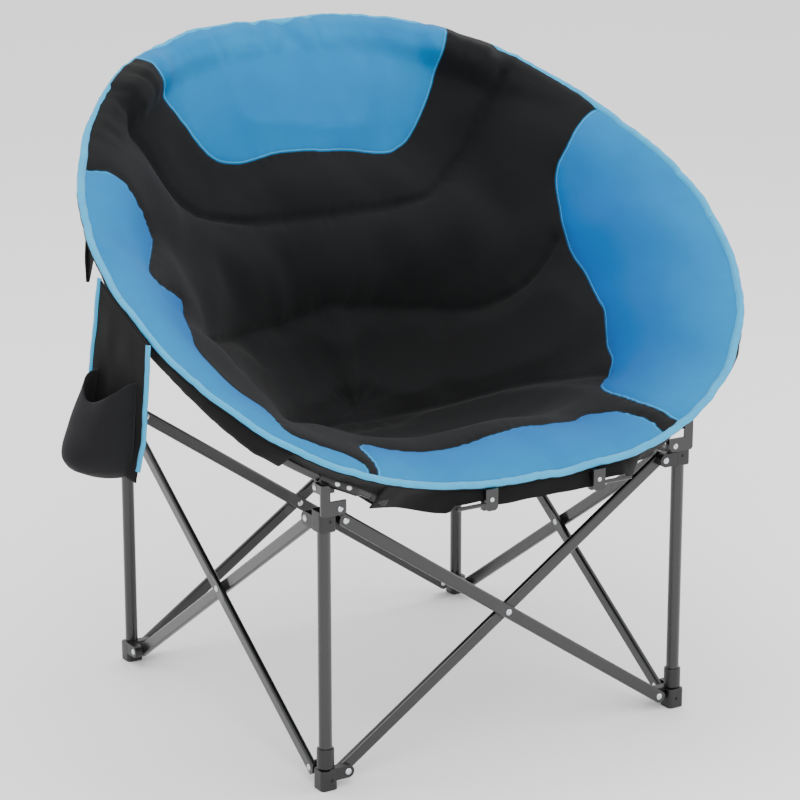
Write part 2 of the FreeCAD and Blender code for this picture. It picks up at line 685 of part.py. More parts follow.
back_pad = pad.common(half_space(1))
pan_pad = pad.common(half_space(-1))


def biggest(s):
    return max(s.Solids, key=lambda k: k.Volume)


print("back solids", len(back_pad.Solids), "pan solids", len(pan_pad.Solids))
back_pad, pan_pad = biggest(back_pad), biggest(pan_pad)

# ---- fabric sleeves round the rim tubes ------------------------------------
outward = near_rim


# one sleeve over both arcs and across the gap at the top
span = left(REAR_TUBE)[:-1] + [(0, 331, 954.5)] + list(reversed(REAR_TUBE[:-1]))
sleeve = rod(outward(span, 0.30), SLEEVE_R)
clear_l = rod(shorten(rt, -20.0, -12.0), R_RIM + 0.4)
knuckle_room = cyl(14.0, (-HALF, HALF, 700), (0, 0, 1), 240).fuse(rod(rt, 12.0).common(box(-318, 150, 860, -238, 360, 980))) \
    .fuse(Part.makeSphere(11.5, T))
for k in (clear_l, mirror_x(clear_l), knuckle_room, mirror_x(knuckle_room)):
    sleeve = sleeve.cut(k)
sleeve = sleeve.common(half_space(1))
print("sleeve solids", [round(k.Volume) for k in sleeve.Solids])
put("rim_sleeve_back", Part.makeCompound([k for k in sleeve.Solids if k.Volume > 500]))

fs = rod(outward(shorten(ft[3:], 16.0, 0.0), 0.30), 14.5)
fs = fs.cut(rod(shorten(ft, -14.0, -20.0), R_RIM + 1.6)).cut(box(-338, -330, 380, -250, -270, 480))
fs = fs.common(half_space(-1))
print("front sleeve solids", [round(k.Volume) for k in fs.Solids])
fs = max(fs.Solids, key=lambda k: k.Volume)
put("seat_back_pad", back_pad)
put("seat_pan_pad", group([pan_pad, fs, mirror_x(fs)]))

# ---- front strap, clips and hooks ------------------------------------------
strap = box(-222, -392.6, 404, 222, -388.6, 431.5)
tilt_y = 0.0
strap = one(strap)
put("front_strap", strap)
clips = []
for sg in (-1, 1):
    xc = sg * 90.0
    plate = box(xc - 10, -398.4, 399, xc + 10, -392.9, 430)
    plate = soften(plate, 6.0, lambda e: e.BoundBox.YLength > 4 and e.BoundBox.ZMax < 400)
    plate = plate.fuse(box(xc - 10, -392.95, 399, xc + 10, -384.5, 403.8))
    plate = plate.fuse(box(xc - 10, -388.3, 399, xc + 10, -384.5, 424))
    pin = cyl(2.0, (xc, -400.0, 415), (0, 1, 0), 16)
    plate = plate.cut(pin)
    clips.append(one(plate))
    rodx = cyl(2.9, (min(xc + sg * 10.0, xc + sg * 56.0), -395.7, 409), (1, 0, 0), 46.0)
    clips.append(rodx)
put("front_clips", group(clips))

# ---- cup holder on the left rim --------------------------------------------
A, B = V(-491, -176, 640), V(-508, -66, 712)
DOWN = V(-0.10, 0.02, -1.0)
DOWN.normalize()
NOUT = (B - A).cross(DOWN)
NOUT.normalize()
if NOUT.x > 0:
    NOUT = NOUT * -1


def slab(corners, thick, n):
    w = Part.makePolygon([V(*c) if not isinstance(c, FreeCAD.Vector) else c for c in corners] + [corners[0]])
    return Part.Face(w).extrude(n * thick)


off = NOUT * 9.0
A1, B1 = A + off, B + off
panel = slab([A1, B1, B1 + DOWN * 245, A1 + DOWN * 192], 3.0, NOUT)
put("cup_holder_panel", panel)
# pocket: open-topped pouch in front of the panel
axc = A1 + (B1 - A1) * 0.52 + DOWN * 92 + NOUT * 3.3
UP = DOWN * -1
SIDE = UP.cross(NOUT)
SIDE.normalize()
rows = [(0.0, 42.0, 44.0), (55.0, 45.0, 66.0), (100.0, 46.0, 76.0), (124.0, 40.0, 62.0), (136.0, 30.0, 38.0)]
hollow = [(-6.0, 42.0, 44.0), (55.0, 45.0, 66.0), (100.0, 46.0, 76.0), (118.0, 40.0, 62.0), (129.0, 32.0, 42.0)]


def pouch_ring(h, half, depth, k):
    c = axc + DOWN * h
    pts = []
    for a in range(0, 181, 15):
        r = math.radians(a)
        pts.append(c + SIDE * (math.cos(r) * (half - k)) + NOUT * (math.sin(r) ** 0.8 * (depth - 2 * k) + k))
    return Part.makePolygon(pts + [pts[0]])


outer = Part.makeLoft([pouch_ring(h, w, dpt, 0.0) for h, w, dpt in rows], True, True)
inner = Part.makeLoft([pouch_ring(h, w, dpt, 3.5) for h, w, dpt in hollow], True, True)
pouch = outer.cut(inner)
print("pouch", pouch.isValid(), [round(k.Volume) for k in pouch.Solids])
put("cup_holder_pocket", biggest(pouch))

# storage pocket behind the left rim: a flat hanging bag
C0, C1 = V(-478, 60, 742), V(-392, 198, 826)
dn = V(-0.02, 0.03, -1.0)
dn.normalize()
nn = (C1 - C0).cross(dn)
nn.normalize()
if nn.x > 0:
    nn = nn * -1
C0, C1 = C0 - nn * 8, C1 - nn * 8
bag = slab([C0, C1, C1 + dn * 108 - (C1 - C0) * 0.04, C0 + dn * 68 + (C1 - C0) * 0.05], 8.0, nn)
bag = soften(bag, 3.0, lambda e: True)
bag = bag.cut(rod(rt, 16.0)).cut(rod(outward(span, 0.30), 15.4))
put("side_pocket", biggest(bag))
print("done")
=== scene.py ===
import bpy
import bmesh
import math
import numpy as np
from mathutils import Matrix, Vector, noise


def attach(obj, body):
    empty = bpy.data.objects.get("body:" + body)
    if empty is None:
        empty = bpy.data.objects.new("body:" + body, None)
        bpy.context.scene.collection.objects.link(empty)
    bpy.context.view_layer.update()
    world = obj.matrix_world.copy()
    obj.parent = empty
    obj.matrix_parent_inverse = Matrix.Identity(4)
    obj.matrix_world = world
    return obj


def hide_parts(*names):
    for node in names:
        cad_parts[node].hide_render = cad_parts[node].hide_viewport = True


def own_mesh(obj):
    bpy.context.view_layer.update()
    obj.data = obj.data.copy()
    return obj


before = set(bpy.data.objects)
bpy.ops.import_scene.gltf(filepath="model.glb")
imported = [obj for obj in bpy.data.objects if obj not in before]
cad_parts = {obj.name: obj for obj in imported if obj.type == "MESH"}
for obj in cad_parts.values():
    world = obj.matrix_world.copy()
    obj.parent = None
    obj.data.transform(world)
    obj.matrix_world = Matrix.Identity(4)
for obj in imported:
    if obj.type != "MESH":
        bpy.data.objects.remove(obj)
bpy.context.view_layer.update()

MM = 0.001
rng = np.random.RandomState(7)

# ---------------------------------------------------------------------------
# camera, light, floor
# ---------------------------------------------------------------------------
C_POS = Vector((-2.25773, -3.67808, 1.66829))
C_FW = Vector((0.50449962, 0.81941139, -0.2721123)).normalized()
C_R = Vector((0.85154398, -0.52428318, 0.0)).normalized()
C_U = C_R.cross(C_FW).normalized()
cam_data = bpy.data.cameras.new("photo_camera")
cam_data.sensor_width = 36.0
cam_data.sensor_fit = "HORIZONTAL"
cam_data.lens = 3007.44 / 800.0 * 36.0
cam_data.clip_start, cam_data.clip_end = 0.1, 60.0
cam = bpy.data.objects.new("photo_camera", cam_data)
rot = Matrix((C_R, C_U, -C_FW)).transposed()
cam.matrix_world = Matrix.Translation(C_POS) @ rot.to_4x4()
bpy.context.scene.collection.objects.link(cam)
bpy.context.scene.camera = cam

world = bpy.data.worlds.new("studio")
bpy.context.scene.world = world
world.use_nodes = True
world.node_tree.nodes["Background"].inputs["Color"].default_value = (1.0, 1.0, 1.0, 1.0)
world.node_tree.nodes["Background"].inputs["Strength"].default_value = 1.45


def area_light(name, pos, target, size, power, size_y=None):
    d = bpy.data.lights.new(name, "AREA")
    d.energy = power
    d.shape = "RECTANGLE"
    d.size = size
    d.size_y = size_y or size
    o = bpy.data.objects.new(name, d)
    o.location = pos
    o.rotation_euler = (Vector(target) - Vector(pos)).to_track_quat("-Z", "Y").to_euler()
    bpy.context.scene.collection.objects.link(o)
    return o


area_light("key", (-1.6, -3.2, 3.6), (0, 0, 0.5), 2.6, 100)
area_light("fill", (3.4, -2.2, 2.2), (0, 0, 0.4), 2.4, 45)
area_light("top", (0.2, 0.6, 4.0), (0, 0, 0.3), 3.0, 65)
area_light("rim_light", (-2.6, 2.6, 2.4), (0, 0, 0.5), 2.0, 25)

bpy.ops.mesh.primitive_plane_add(size=24, location=(0, 0, 0))
floor = bpy.context.object
floor.name = "floor"

# ---------------------------------------------------------------------------
# materials
# ---------------------------------------------------------------------------


def srgb(r, g, b):
    def f(c):
        c = c / 255.0
        return c / 12.92 if c <= 0.04045 else ((c + 0.055) / 1.055) ** 2.4
    return (f(r), f(g), f(b), 1.0)


class Mat:
    """A small helper round one node tree."""

    def __init__(self, name):
        self.m = bpy.data.materials.new(name)
        self.m.use_nodes = True
        self.t = self.m.node_tree
        self.b = self.t.nodes["Principled BSDF"]

    def n(self, kind, **kw):
        node = self.t.nodes.new(kind)
        for k, v in kw.items():
            if k.startswith("in_"):
                node.inputs[int(k[3:]) if k[3:].isdigit() else k[3:].replace("_", " ")].default_value = v
            else:
                setattr(node, k, v)
        return node

    def l(self, a, b):
        self.t.links.new(a, b)

    def math(self, op, a, b=None, c=None, clamp=False):
        node = self.t.nodes.new("ShaderNodeMath")
        node.operation = op
        node.use_clamp = clamp
        for i, v in enumerate((a, b, c)):
            if v is None:
                continue
            if isinstance(v, (int, float)):
                node.inputs[i].default_value = v
            else:
                self.l(v, node.inputs[i])
        return node.outputs[0]

    def mix(self, fac, a, b, blend="MIX"):
        node = self.t.nodes.new("ShaderNodeMix")
        node.data_type = "RGBA"
        node.blend_type = blend
        for idx, v in ((0, fac), (6, a), (7, b)):
            if isinstance(v, (int, float)):
                node.inputs[idx].default_value = v
            elif isinstance(v, tuple):
                node.inputs[idx].default_value = v
            else:
                self.l(v, node.inputs[idx])
        return node.outputs[2]

    def ramp(self, fac, stops):
        node = self.t.nodes.new("ShaderNodeValToRGB")
        cr = node.color_ramp
        while len(cr.elements) > 1:
            cr.elements.remove(cr.elements[-1])
        cr.elements[0].position = stops[0][0]
        cr.elements[0].color = stops[0][1]
        for p, c in stops[1:]:
            e = cr.elements.new(p)
            e.color = c
        self.l(fac, node.inputs[0])
        return node.outputs[0]

    def noise(self, scale, detail=4.0, rough=0.55, vec=None, kind="ShaderNodeTexNoise"):
        node = self.t.nodes.new(kind)
        node.inputs["Scale"].default_value = scale
        node.inputs["Detail"].default_value = detail
        node.inputs["Roughness"].default_value = rough
        if vec is None:
            tc = self.t.nodes.new("ShaderNodeTexCoord")
            vec = tc.outputs["Object"]
        self.l(vec, node.inputs["Vector"])
        return node.outputs["Fac"]

    def bump(self, height, strength, distance, prev=None):
        node = self.t.nodes.new("ShaderNodeBump")
        node.inputs["Strength"].default_value = strength
        node.inputs["Distance"].default_value = distance
        self.l(height, node.inputs["Height"])
        if prev is not None:
            self.l(prev, node.inputs["Normal"])
        return node.outputs["Normal"]


def weave(M, period_mm, name="UVMap"):
    """Plain weave height, 0 to 1, from the UV layer (UV is in metres)."""
    uv = M.n("ShaderNodeUVMap", uv_map=name)
    sep = M.n("ShaderNodeSeparateXYZ")
    M.l(uv.outputs[0], sep.inputs[0])
    k = 2 * math.pi / (period_mm * MM)
    u = M.math("MULTIPLY", sep.outputs[0], k)
    v = M.math("MULTIPLY", sep.outputs[1], k)
    su = M.math("SINE", u)
    sv = M.math("SINE", v)
    a = M.math("MULTIPLY", su, sv)
    # thread rows of both directions on top of the over-under pattern
    cu = M.math("ABSOLUTE", M.math("SINE", M.math("MULTIPLY", sep.outputs[0], k)))
    cv = M.math("ABSOLUTE", M.math("SINE", M.math("MULTIPLY", sep.outputs[1], k)))
    s = M.math("ADD", M.math("MULTIPLY", a, 0.5), M.math("MULTIPLY", M.math("ADD", cu, cv), 0.25))
    return M.math("ADD", s, 0.25)


def steel_paint():
    M = Mat("black_powder_coat")
    grain = M.noise(900, 3, 0.6)
    big = M.noise(9, 4, 0.6)
    wear = M.noise(60, 6, 0.7)
    col = M.mix(big, srgb(9, 9, 10), srgb(14, 14, 15))
    fac = M.ramp(wear, [(0.0, (0, 0, 0, 1)), (0.68, (0, 0, 0, 1)), (0.80, (1, 1, 1, 1))])
    M.l(M.mix(M.math("MULTIPLY", fac, 0.35), col, srgb(58, 58, 60)), M.b.inputs["Base Color"])
    M.l(M.math("ADD", M.math("MULTIPLY", big, 0.10), 0.23), M.b.inputs["Roughness"])
    M.b.inputs["Metallic"].default_value = 0.0
    M.b.inputs["Coat Weight"].default_value = 0.35
    M.b.inputs["Coat Roughness"].default_value = 0.22
    M.l(M.bump(grain, 0.10, 0.0004), M.b.inputs["Normal"])
    return M.m


def plastic():
    M = Mat("black_moulded_plastic")
    grain = M.noise(1500, 3, 0.6)
    big = M.noise(22, 4, 0.6)
    M.l(M.mix(big, srgb(10, 10, 11), srgb(17, 17, 18)), M.b.inputs["Base Color"])
    M.l(M.math("ADD", M.math("MULTIPLY", big, 0.16), 0.33), M.b.inputs["Roughness"])
    M.l(M.bump(grain, 0.16, 0.0003), M.b.inputs["Normal"])
    return M.m


def rivet_mat():
    M = Mat("zinc_rivet")
    scr = M.noise(420, 5, 0.7)
    big = M.noise(120, 3, 0.5)
    M.l(M.mix(big, srgb(176, 178, 182), srgb(222, 224, 228)), M.b.inputs["Base Color"])
    M.b.inputs["Metallic"].default_value = 0.95
    M.l(M.math("ADD", M.math("MULTIPLY", scr, 0.22), 0.20), M.b.inputs["Roughness"])
    M.l(M.bump(scr, 0.12, 0.0002), M.b.inputs["Normal"])
    return M.m


def fabric(name, dark, light, period=1.5, rough=0.88, sheen=0.05, bump=0.35, weave_gap_shade=0.5):
    M = Mat(name)
    w = weave(M, period)
    mottled = M.noise(14, 5, 0.6)
    slub = M.noise(260, 4, 0.65)
    base = M.mix(mottled, dark, light)
    # painted shade: the colour darkens towards half the dark tone in the low gaps of the weave
    base = M.mix(M.math("MULTIPLY", M.math("SUBTRACT", 1.0, w), weave_gap_shade * 0.5), base, (dark[0] * 0.5, dark[1] * 0.5, dark[2] * 0.5, 1))
    base = M.mix(M.math("MULTIPLY", slub, 0.12), base, light)
    M.l(base, M.b.inputs["Base Color"])
    M.b.inputs["Roughness"].default_value = rough
    M.b.inputs["Sheen Weight"].default_value = sheen
    M.b.inputs["Specular IOR Level"].default_value = 0.18
    M.b.inputs["Sheen Roughness"].default_value = 0.5
    n1 = M.bump(w, bump, 0.0005)
    n2 = M.bump(slub, 0.18, 0.0006, n1)
    M.l(n2, M.b.inputs["Normal"])
    return M.m


BLUE_D, BLUE_L = srgb(0, 104, 166), srgb(8, 132, 184)
BLACK_D, BLACK_L = srgb(7, 7, 8), srgb(12, 12, 13)


def seat_fabric():
    """Blue panels on black, told apart by the stored distance to the panel's
    edge, with a stitched seam along each edge."""
    M = Mat("seat_fabric")
    w = weave(M, 1.6)
    mottled = M.noise(9, 5, 0.6)
    slub = M.noise(240, 4, 0.65)
    at = M.n("ShaderNodeAttribute", attribute_name="panel")
    along = M.n("ShaderNodeAttribute", attribute_name="along")
    bowl_shade = M.n("ShaderNodeAttribute", attribute_name="bowl_shade")
    d = at.outputs["Fac"]
    blue = M.mix(mottled, BLUE_D, BLUE_L)
    # painted shade: the blue is darkened from the rim towards the inside of the bowl, less so at the back
    blue = M.mix(M.math("MULTIPLY", bowl_shade.outputs["Fac"], 0.75, clamp=True), blue, srgb(0, 74, 156))
    black = M.mix(mottled, BLACK_D, BLACK_L)
    mask = M.math("GREATER_THAN", d, 0.0)
    col = M.mix(mask, black, blue)
    # painted shade: the colour darkens in the low gaps of the weave
    col = M.mix(M.math("MULTIPLY", M.math("SUBTRACT", 1.0, w), 0.26), col, (0.004, 0.006, 0.008, 1))
    # needle holes and thread of the seam, 2.5 mm inside the panel's edge
    near = M.math("LESS_THAN", M.math("ABSOLUTE", M.math("SUBTRACT", d, 2.6)), 0.55)
    dash = M.math("LESS_THAN", M.math("FRACT", M.math("DIVIDE", along.outputs["Fac"], 3.6)), 0.68)
    st = M.math("MULTIPLY", near, dash)
    col = M.mix(M.math("MULTIPLY", st, 0.6), col, srgb(96, 196, 232))
    groove = M.math("SUBTRACT", 1.0, M.math("DIVIDE", M.math("ABSOLUTE", d), 1.6), clamp=True)
    col = M.mix(M.math("MULTIPLY", groove, 0.55), col, srgb(16, 60, 84))
    M.l(col, M.b.inputs["Base Color"])
    M.b.inputs["Roughness"].default_value = 0.84
    M.b.inputs["Sheen Weight"].default_value = 0.03
    M.b.inputs["Specular IOR Level"].default_value = 0.18
    M.b.inputs["Sheen Roughness"].default_value = 0.55
    n1 = M.bump(w, 0.30, 0.0006)
    n2 = M.bump(slub, 0.16, 0.0006, n1)
    n3 = M.bump(M.math("SUBTRACT", st, groove), 0.6, 0.0008, n2)
    M.l(n3, M.b.inputs["Normal"])
    return M.m


def binding_mat():
    M = Mat("cyan_binding")
    w = weave(M, 1.3)
    slub = M.noise(300, 4, 0.65)
    mottled = M.noise(30, 4, 0.6)
    st = M.n("ShaderNodeAttribute", attribute_name="stitch")
    uv = M.n("ShaderNodeUVMap", uv_map="UVMap")
    sep = M.n("ShaderNodeSeparateXYZ")
    M.l(uv.outputs[0], sep.inputs[0])
    dash = M.math("LESS_THAN", M.math("FRACT", M.math("DIVIDE", sep.outputs[0], 0.0042)), 0.66)
    thread = M.math("MULTIPLY", M.math("GREATER_THAN", st.outputs["Fac"], 0.5), dash)
    col = M.mix(mottled, srgb(0, 132, 186), srgb(0, 168, 212))
    # painted shade: the cyan darkens in the low gaps of the weave
    col = M.mix(M.math("MULTIPLY", M.math("SUBTRACT", 1.0, w), 0.22), col, srgb(14, 96, 128))
    col = M.mix(M.math("MULTIPLY", thread, 0.7), col, srgb(20, 120, 158))
    M.l(col, M.b.inputs["Base Color"])
    M.b.inputs["Roughness"].default_value = 0.78
    M.b.inputs["Sheen Weight"].default_value = 0.2
    n1 = M.bump(w, 0.30, 0.0005)
    n2 = M.bump(slub, 0.2, 0.0006, n1)
    n3 = M.bump(M.math("MULTIPLY", M.math("GREATER_THAN", st.outputs["Fac"], 0.5), -1.0), 0.5, 0.0008, n2)
    M.l(n3, M.b.inputs["Normal"])
    return M.m


def floor_mat():
    M = Mat("pale_floor")
    big = M.noise(1.4, 3, 0.5)
    M.l(M.mix(big, (0.93, 0.93, 0.93, 1), (0.96, 0.96, 0.96, 1)), M.b.inputs["Base Color"])
    M.b.inputs["Roughness"].default_value = 0.55
    return M.m


M_STEEL, M_PLASTIC, M_RIVET = steel_paint(), plastic(), rivet_mat()
M_SEAT, M_BIND, M_FLOOR = seat_fabric(), binding_mat(), floor_mat()
M_BLACK = fabric("black_polyester", BLACK_D, BLACK_L, 1.6)
M_POCKET = fabric("pocket_polyester", srgb(16, 16, 18), srgb(28, 28, 31), 2.2, weave_gap_shade=0.9, bump=0.6)
M_WEB = fabric("black_webbing", srgb(24, 24, 26), srgb(40, 40, 42), 2.4, bump=0.6)
floor.data.materials.append(M_FLOOR)

STEEL = ("inner_leg", "outer_leg", "rear_pole", "brace_", "front_rim_tube", "rear_rim_tube", "rim_yoke", "front_clips")
RIVET = ("foot_rivets", "hub_rivets", "rivet_", "rim_bracket_rivets")
for name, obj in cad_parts.items():
    mat = M_PLASTIC
    if name.startswith(STEEL):
        mat = M_STEEL
    if name.startswith(RIVET):
        mat = M_RIVET
    if not obj.material_slots:
        obj.data.materials.append(mat)
    for sl in obj.material_slots:
        sl.link = "OBJECT"
        sl.material = mat

# ---------------------------------------------------------------------------
# seat surface, the same numbers as the construction, in millimetres
# ---------------------------------------------------------------------------
RIM_C = (438.2, 41.2, -65.8, -17.7, -5.6, 3.5)
ORG = (-27.0, 703.5)
S_Y, S_Z, N_Y, N_Z = 0.8048, 0.5933, -0.5933, 0.8048
S_C = -60.0
PH_K = [0, 30, 60, 90, 104, 125, 150, 180]
Q_K = [0.0, 0.12, 0.25, 0.35, 0.45, 0.55, 0.65, 0.75, 0.85, 0.93, 1.0]
DEPTH = np.array([
    [325, 318, 292, 258, 208, 143, 72, 20, 8, 3, 0],
    [335, 328, 303, 272, 228, 172, 108, 52, 20, 7, 0],
    [361, 355, 333, 302, 255, 198, 140, 85, 40, 14, 0],
    [354, 348, 325, 292, 245, 190, 133, 80, 38, 13, 0],
    [343, 337, 312, 278, 230, 176, 132, 80, 26, 8, 0],
    [331, 322, 290, 238, 172, 136, 124, 100, 56, 22, 0],
    [327, 312, 262, 197, 142, 118, 100, 72, 42, 18, 0],
    [325, 300, 240, 183, 128, 105, 84, 60, 36, 17, 0]], float)


def pchip(xs, ys, x, flat_ends=False):
    """Monotone cubic through (xs, ys); ys may carry more columns."""
    xs = np.asarray(xs, float)
    ys = np.asarray(ys, float)
    x = np.clip(np.asarray(x, float), xs[0], xs[-1])
    one = ys.ndim == 1
    if one:
        ys = ys[:, None]
    h = np.diff(xs)[:, None]
    dl = np.diff(ys, axis=0) / h
    m = np.zeros_like(ys)
    m[0], m[-1] = (0.0, 0.0) if flat_ends else (dl[0], dl[-1])
    w1 = 2 * h[1:] + h[:-1]
    w2 = h[1:] + 2 * h[:-1]
    prod = dl[:-1] * dl[1:]
    with np.errstate(divide="ignore", invalid="ignore"):
        mm = (w1 + w2) / (w1 / dl[:-1] + w2 / dl[1:])
    m[1:-1] = np.where(prod > 0, mm, 0.0)
    i = np.clip(np.searchsorted(xs, x, side="right") - 1, 0, len(xs) - 2)
    t = ((x - xs[i]) / (xs[i + 1] - xs[i]))[..., None]
    hh = (xs[i + 1] - xs[i])[..., None]
    out = ((2 * t ** 3 - 3 * t ** 2 + 1) * ys[i] + (t ** 3 - 2 * t ** 2 + t) * hh * m[i]
           + (-2 * t ** 3 + 3 * t ** 2) * ys[i + 1] + (t ** 3 - t ** 2) * hh * m[i + 1])
    return out[..., 0] if one else out


def rim(ph):
    """Edge of the seat, ph in degrees from the front centre, any sign."""
    a = np.radians(np.asarray(ph, float))
    R = sum(c * np.cos(k * a) for k, c in enumerate(RIM_C))
    x, y = R * np.sin(a), -R * np.cos(a)
    X, Y = x / 450.0, y / 350.0
    z = 725.9 + 254.1 * Y - 1.9 * Y * Y + 27 * X * X + 3.5 * Y ** 3 - 21.5 * X * X * Y
    return np.stack([x, y, z], -1)


def to_tilt(p):
    y, z = p[..., 1] - ORG[0], p[..., 2] - ORG[1]
    return np.stack([p[..., 0], y * S_Y + z * S_Z, y * N_Y + z * N_Z], -1)


def from_tilt(t):
    x, s, d = t[..., 0], t[..., 1], t[..., 2]
    return np.stack([x, ORG[0] + s * S_Y + d * N_Y, ORG[1] + s * S_Z + d * N_Z], -1)


def surf(ph, q):
    """Point of the seat's upper face at (ph, q), q from 0 at the centre to 1
    at the edge."""
    ph = np.asarray(ph, float)
    q = np.asarray(q, float)
    r = to_tilt(rim(ph))
    rows = pchip(PH_K, DEPTH, np.abs(ph), True)
    # interpolate each row in q
    depth = row_pchip(rows, q)
    base = (325.0 + r[..., 2]) / rows[..., 0]
    out = np.empty(np.broadcast(ph, q).shape + (3,))
    out[..., 0] = r[..., 0] * q
    out[..., 1] = S_C + (r[..., 1] - S_C) * q
    out[..., 2] = r[..., 2] - depth * base
    return from_tilt(out)


def row_pchip(rows, q):
    """Monotone cubic in q with a row of values per point."""
    xs = np.array(Q_K)
    h = np.diff(xs)
    dl = np.diff(rows, axis=-1) / h
    m = np.zeros_like(rows)
    m[..., 0], m[..., -1] = 0.0, dl[..., -1]
    w1 = 2 * h[1:] + h[:-1]
    w2 = h[1:] + 2 * h[:-1]
    prod = dl[..., :-1] * dl[..., 1:]
    with np.errstate(divide="ignore", invalid="ignore"):
        mm = (w1 + w2) / (w1 / dl[..., :-1] + w2 / dl[..., 1:])
    m[..., 1:-1] = np.where(prod > 0, mm, 0.0)
    q = np.clip(q, 0, 1)
    i = np.clip(np.searchsorted(xs, q, side="right") - 1, 0, len(xs) - 2)
    ii = np.broadcast_to(i, rows.shape[:-1])
    take = lambda a, k: np.take_along_axis(a, k[..., None], -1)[..., 0]
    t = (q - xs[i]) / (xs[i + 1] - xs[i])
    hh = xs[i + 1] - xs[i]
    return ((2 * t ** 3 - 3 * t ** 2 + 1) * take(rows, ii) + (t ** 3 - 2 * t ** 2 + t) * hh * take(m, ii)
            + (-2 * t ** 3 + 3 * t ** 2) * take(rows, ii + 1) + (t ** 3 - t ** 2) * hh * take(m, ii + 1))


# panel outlines in (ph, q); negative ph is the left side
LEFT_EDGE = [(-104.2, 1.02), (-105.0, .965), (-106.0, .93), (-106.3, .896), (-106.4, .866), (-105.5, .838), (-105.0, .806),
             (-103.8, .773), (-101.0, .751), (-96.8, .759), (-92.5, .778), (-88.4, .796), (-87.2, .771), (-88.0, .727),
             (-88.6, .695), (-87.2, .678), (-82.2, .699), (-76.0, .748), (-71.5, .790), (-68.2, .800), (-65.0, .800), (-61.5, .793),
             (-59.0, .772), (-56.5, .775), (-54.5, .81), (-52.5, .86), (-50.8, .895), (-49.2, .905), (-46.0, .892),
             (-42.2, .892), (-39.2, .905), (-36.8, .935), (-35.2, 1.02)]
RIGHT_EDGE = [(104.6, 1.02), (105.5, .944), (105.5, .902), (105.2, .864), (104.5, .826), (104.2, .802), (103.5, .78),
              (102.2, .759), (100.0, .737), (97.2, .715), (94.5, .695), (91.2, .677), (88.8, .667), (85.8, .661),
              (82.0, .661), (77.5, .659), (73.5, .661), (70.8, .665), (67.0, .661), (61.8, .659), (57.0, .673), (52.5, .664),
              (49.0, .668), (46.5, .680), (44.0, .70), (41.5, .737), (37.6, .824), (36.0, .894), (35.2, .944), (34.6, 1.02)]
TOP_EDGE = [(-136.6, 1.02), (-137.2, .936), (-138.0, .884), (-139.0, .844), (-139.8, .802), (-140.2, .763), (-140.8, .721),
            (-142.5, .689), (-145.5, .665), (-149.8, .647), (-156.0, .639), (-162.8, .637), (-170.5, .629), (-177.5, .623),
            (-183.5, .617), (-194.0, .619), (-204.8, .621), (-213.0, .635), (-216.8, .661), (-219.5, .693), (-221.0, .737),
            (-222.2, .79), (-222.8, .842), (-222.8, .894), (-222.8, 1.02)]
FRONT_EDGE = [(-34.2, 1.02), (-35.0, .93), (-36.4, .876), (-37.6, .838), (-38.6, .800), (-38.2, .765), (-36.2, .755), (-32.0, .765), (-26, .775),
              (-19, .775), (-12, .763), (-5, .750), (2, .738), (8, .733), (14, .735), (20, .732), (26, .725), (30.5, .718),
              (33.0, .733), (34.0, .763), (33.9, .798), (33.2, .832), (32.6, .878), (32.0, .922), (31.0, .958), (30.2, 1.02)]
CREASE_UP = [(-125.5, .944), (-123.8, .904), (-124.0, .85), (-123.6, .8), (-123.2, .741), (-123.8, .673), (-127.0, .599),
             (-136.5, .511), (-153.5, .458), (-177.0, .437), (-192.0, .443), (-208.5, .459), (-221.0, .497), (-229.5, .549),
             (-232.8, .615), (-234.4, .681), (-236.0, .749), (-236.0, .824), (-236.2, .88), (-236.5, .934)]
CREASE_MID = [(-80.8, .607), (-95.0, .467), (-108.2, .381), (-124.5, .31), (-134.8, .286), (-153.0, .264), (-170.8, .26),
              (-202.0, .258), (-234.5, .308), (-252.8, .377), (-263.8, .437), (-267.8, .489), (-270.0, .541), (-269.5, .599),
              (-267.2, .659)]
CREASE_LOW_XYZ = [(-272, -150, 476), (-250, -95, 455), (-205, -20, 433), (-140, 45, 414), (-60, 85, 406), (0, 92, 405),
                  (80, 80, 407), (150, 45, 415), (210, -20, 435), (250, -95, 455), (272, -150, 476)]


def dense(path, n=60):
    path = np.array(path, float)
    seg = np.linspace(0, len(path) - 1, n * (len(path) - 1) + 1)
    i = np.clip(seg.astype(int), 0, len(path) - 2)
    t = (seg - i)[:, None]
    # Catmull-Rom
    p0 = path[np.clip(i - 1, 0, None)]
    p1, p2 = path[i], path[i + 1]
    p3 = path[np.clip(i + 2, None, len(path) - 1)]
    return 0.5 * ((2 * p1) + (-p0 + p2) * t + (2 * p0 - 5 * p1 + 4 * p2 - p3) * t ** 2 + (-p0 + 3 * p1 - 3 * p2 + p3) * t ** 3)


def to_pq(p):
    """(ph, q) of the surface point below/at p, with ph from 0 to 180."""
    t = to_tilt(np.asarray(p, float))
    ang = np.arctan2(np.abs(t[..., 0]), -(t[..., 1] - S_C))
    phs = np.arange(0, 180.01, 0.5)
    rt = to_tilt(rim(phs))
    ra = np.arctan2(rt[:, 0], -(rt[:, 1] - S_C))
    ph = np.interp(ang, ra, phs)
    rr = to_tilt(rim(ph))
    q = np.hypot(t[..., 0], t[..., 1] - S_C) / np.hypot(rr[..., 0], rr[..., 1] - S_C)
    return np.stack([ph, q], -1)


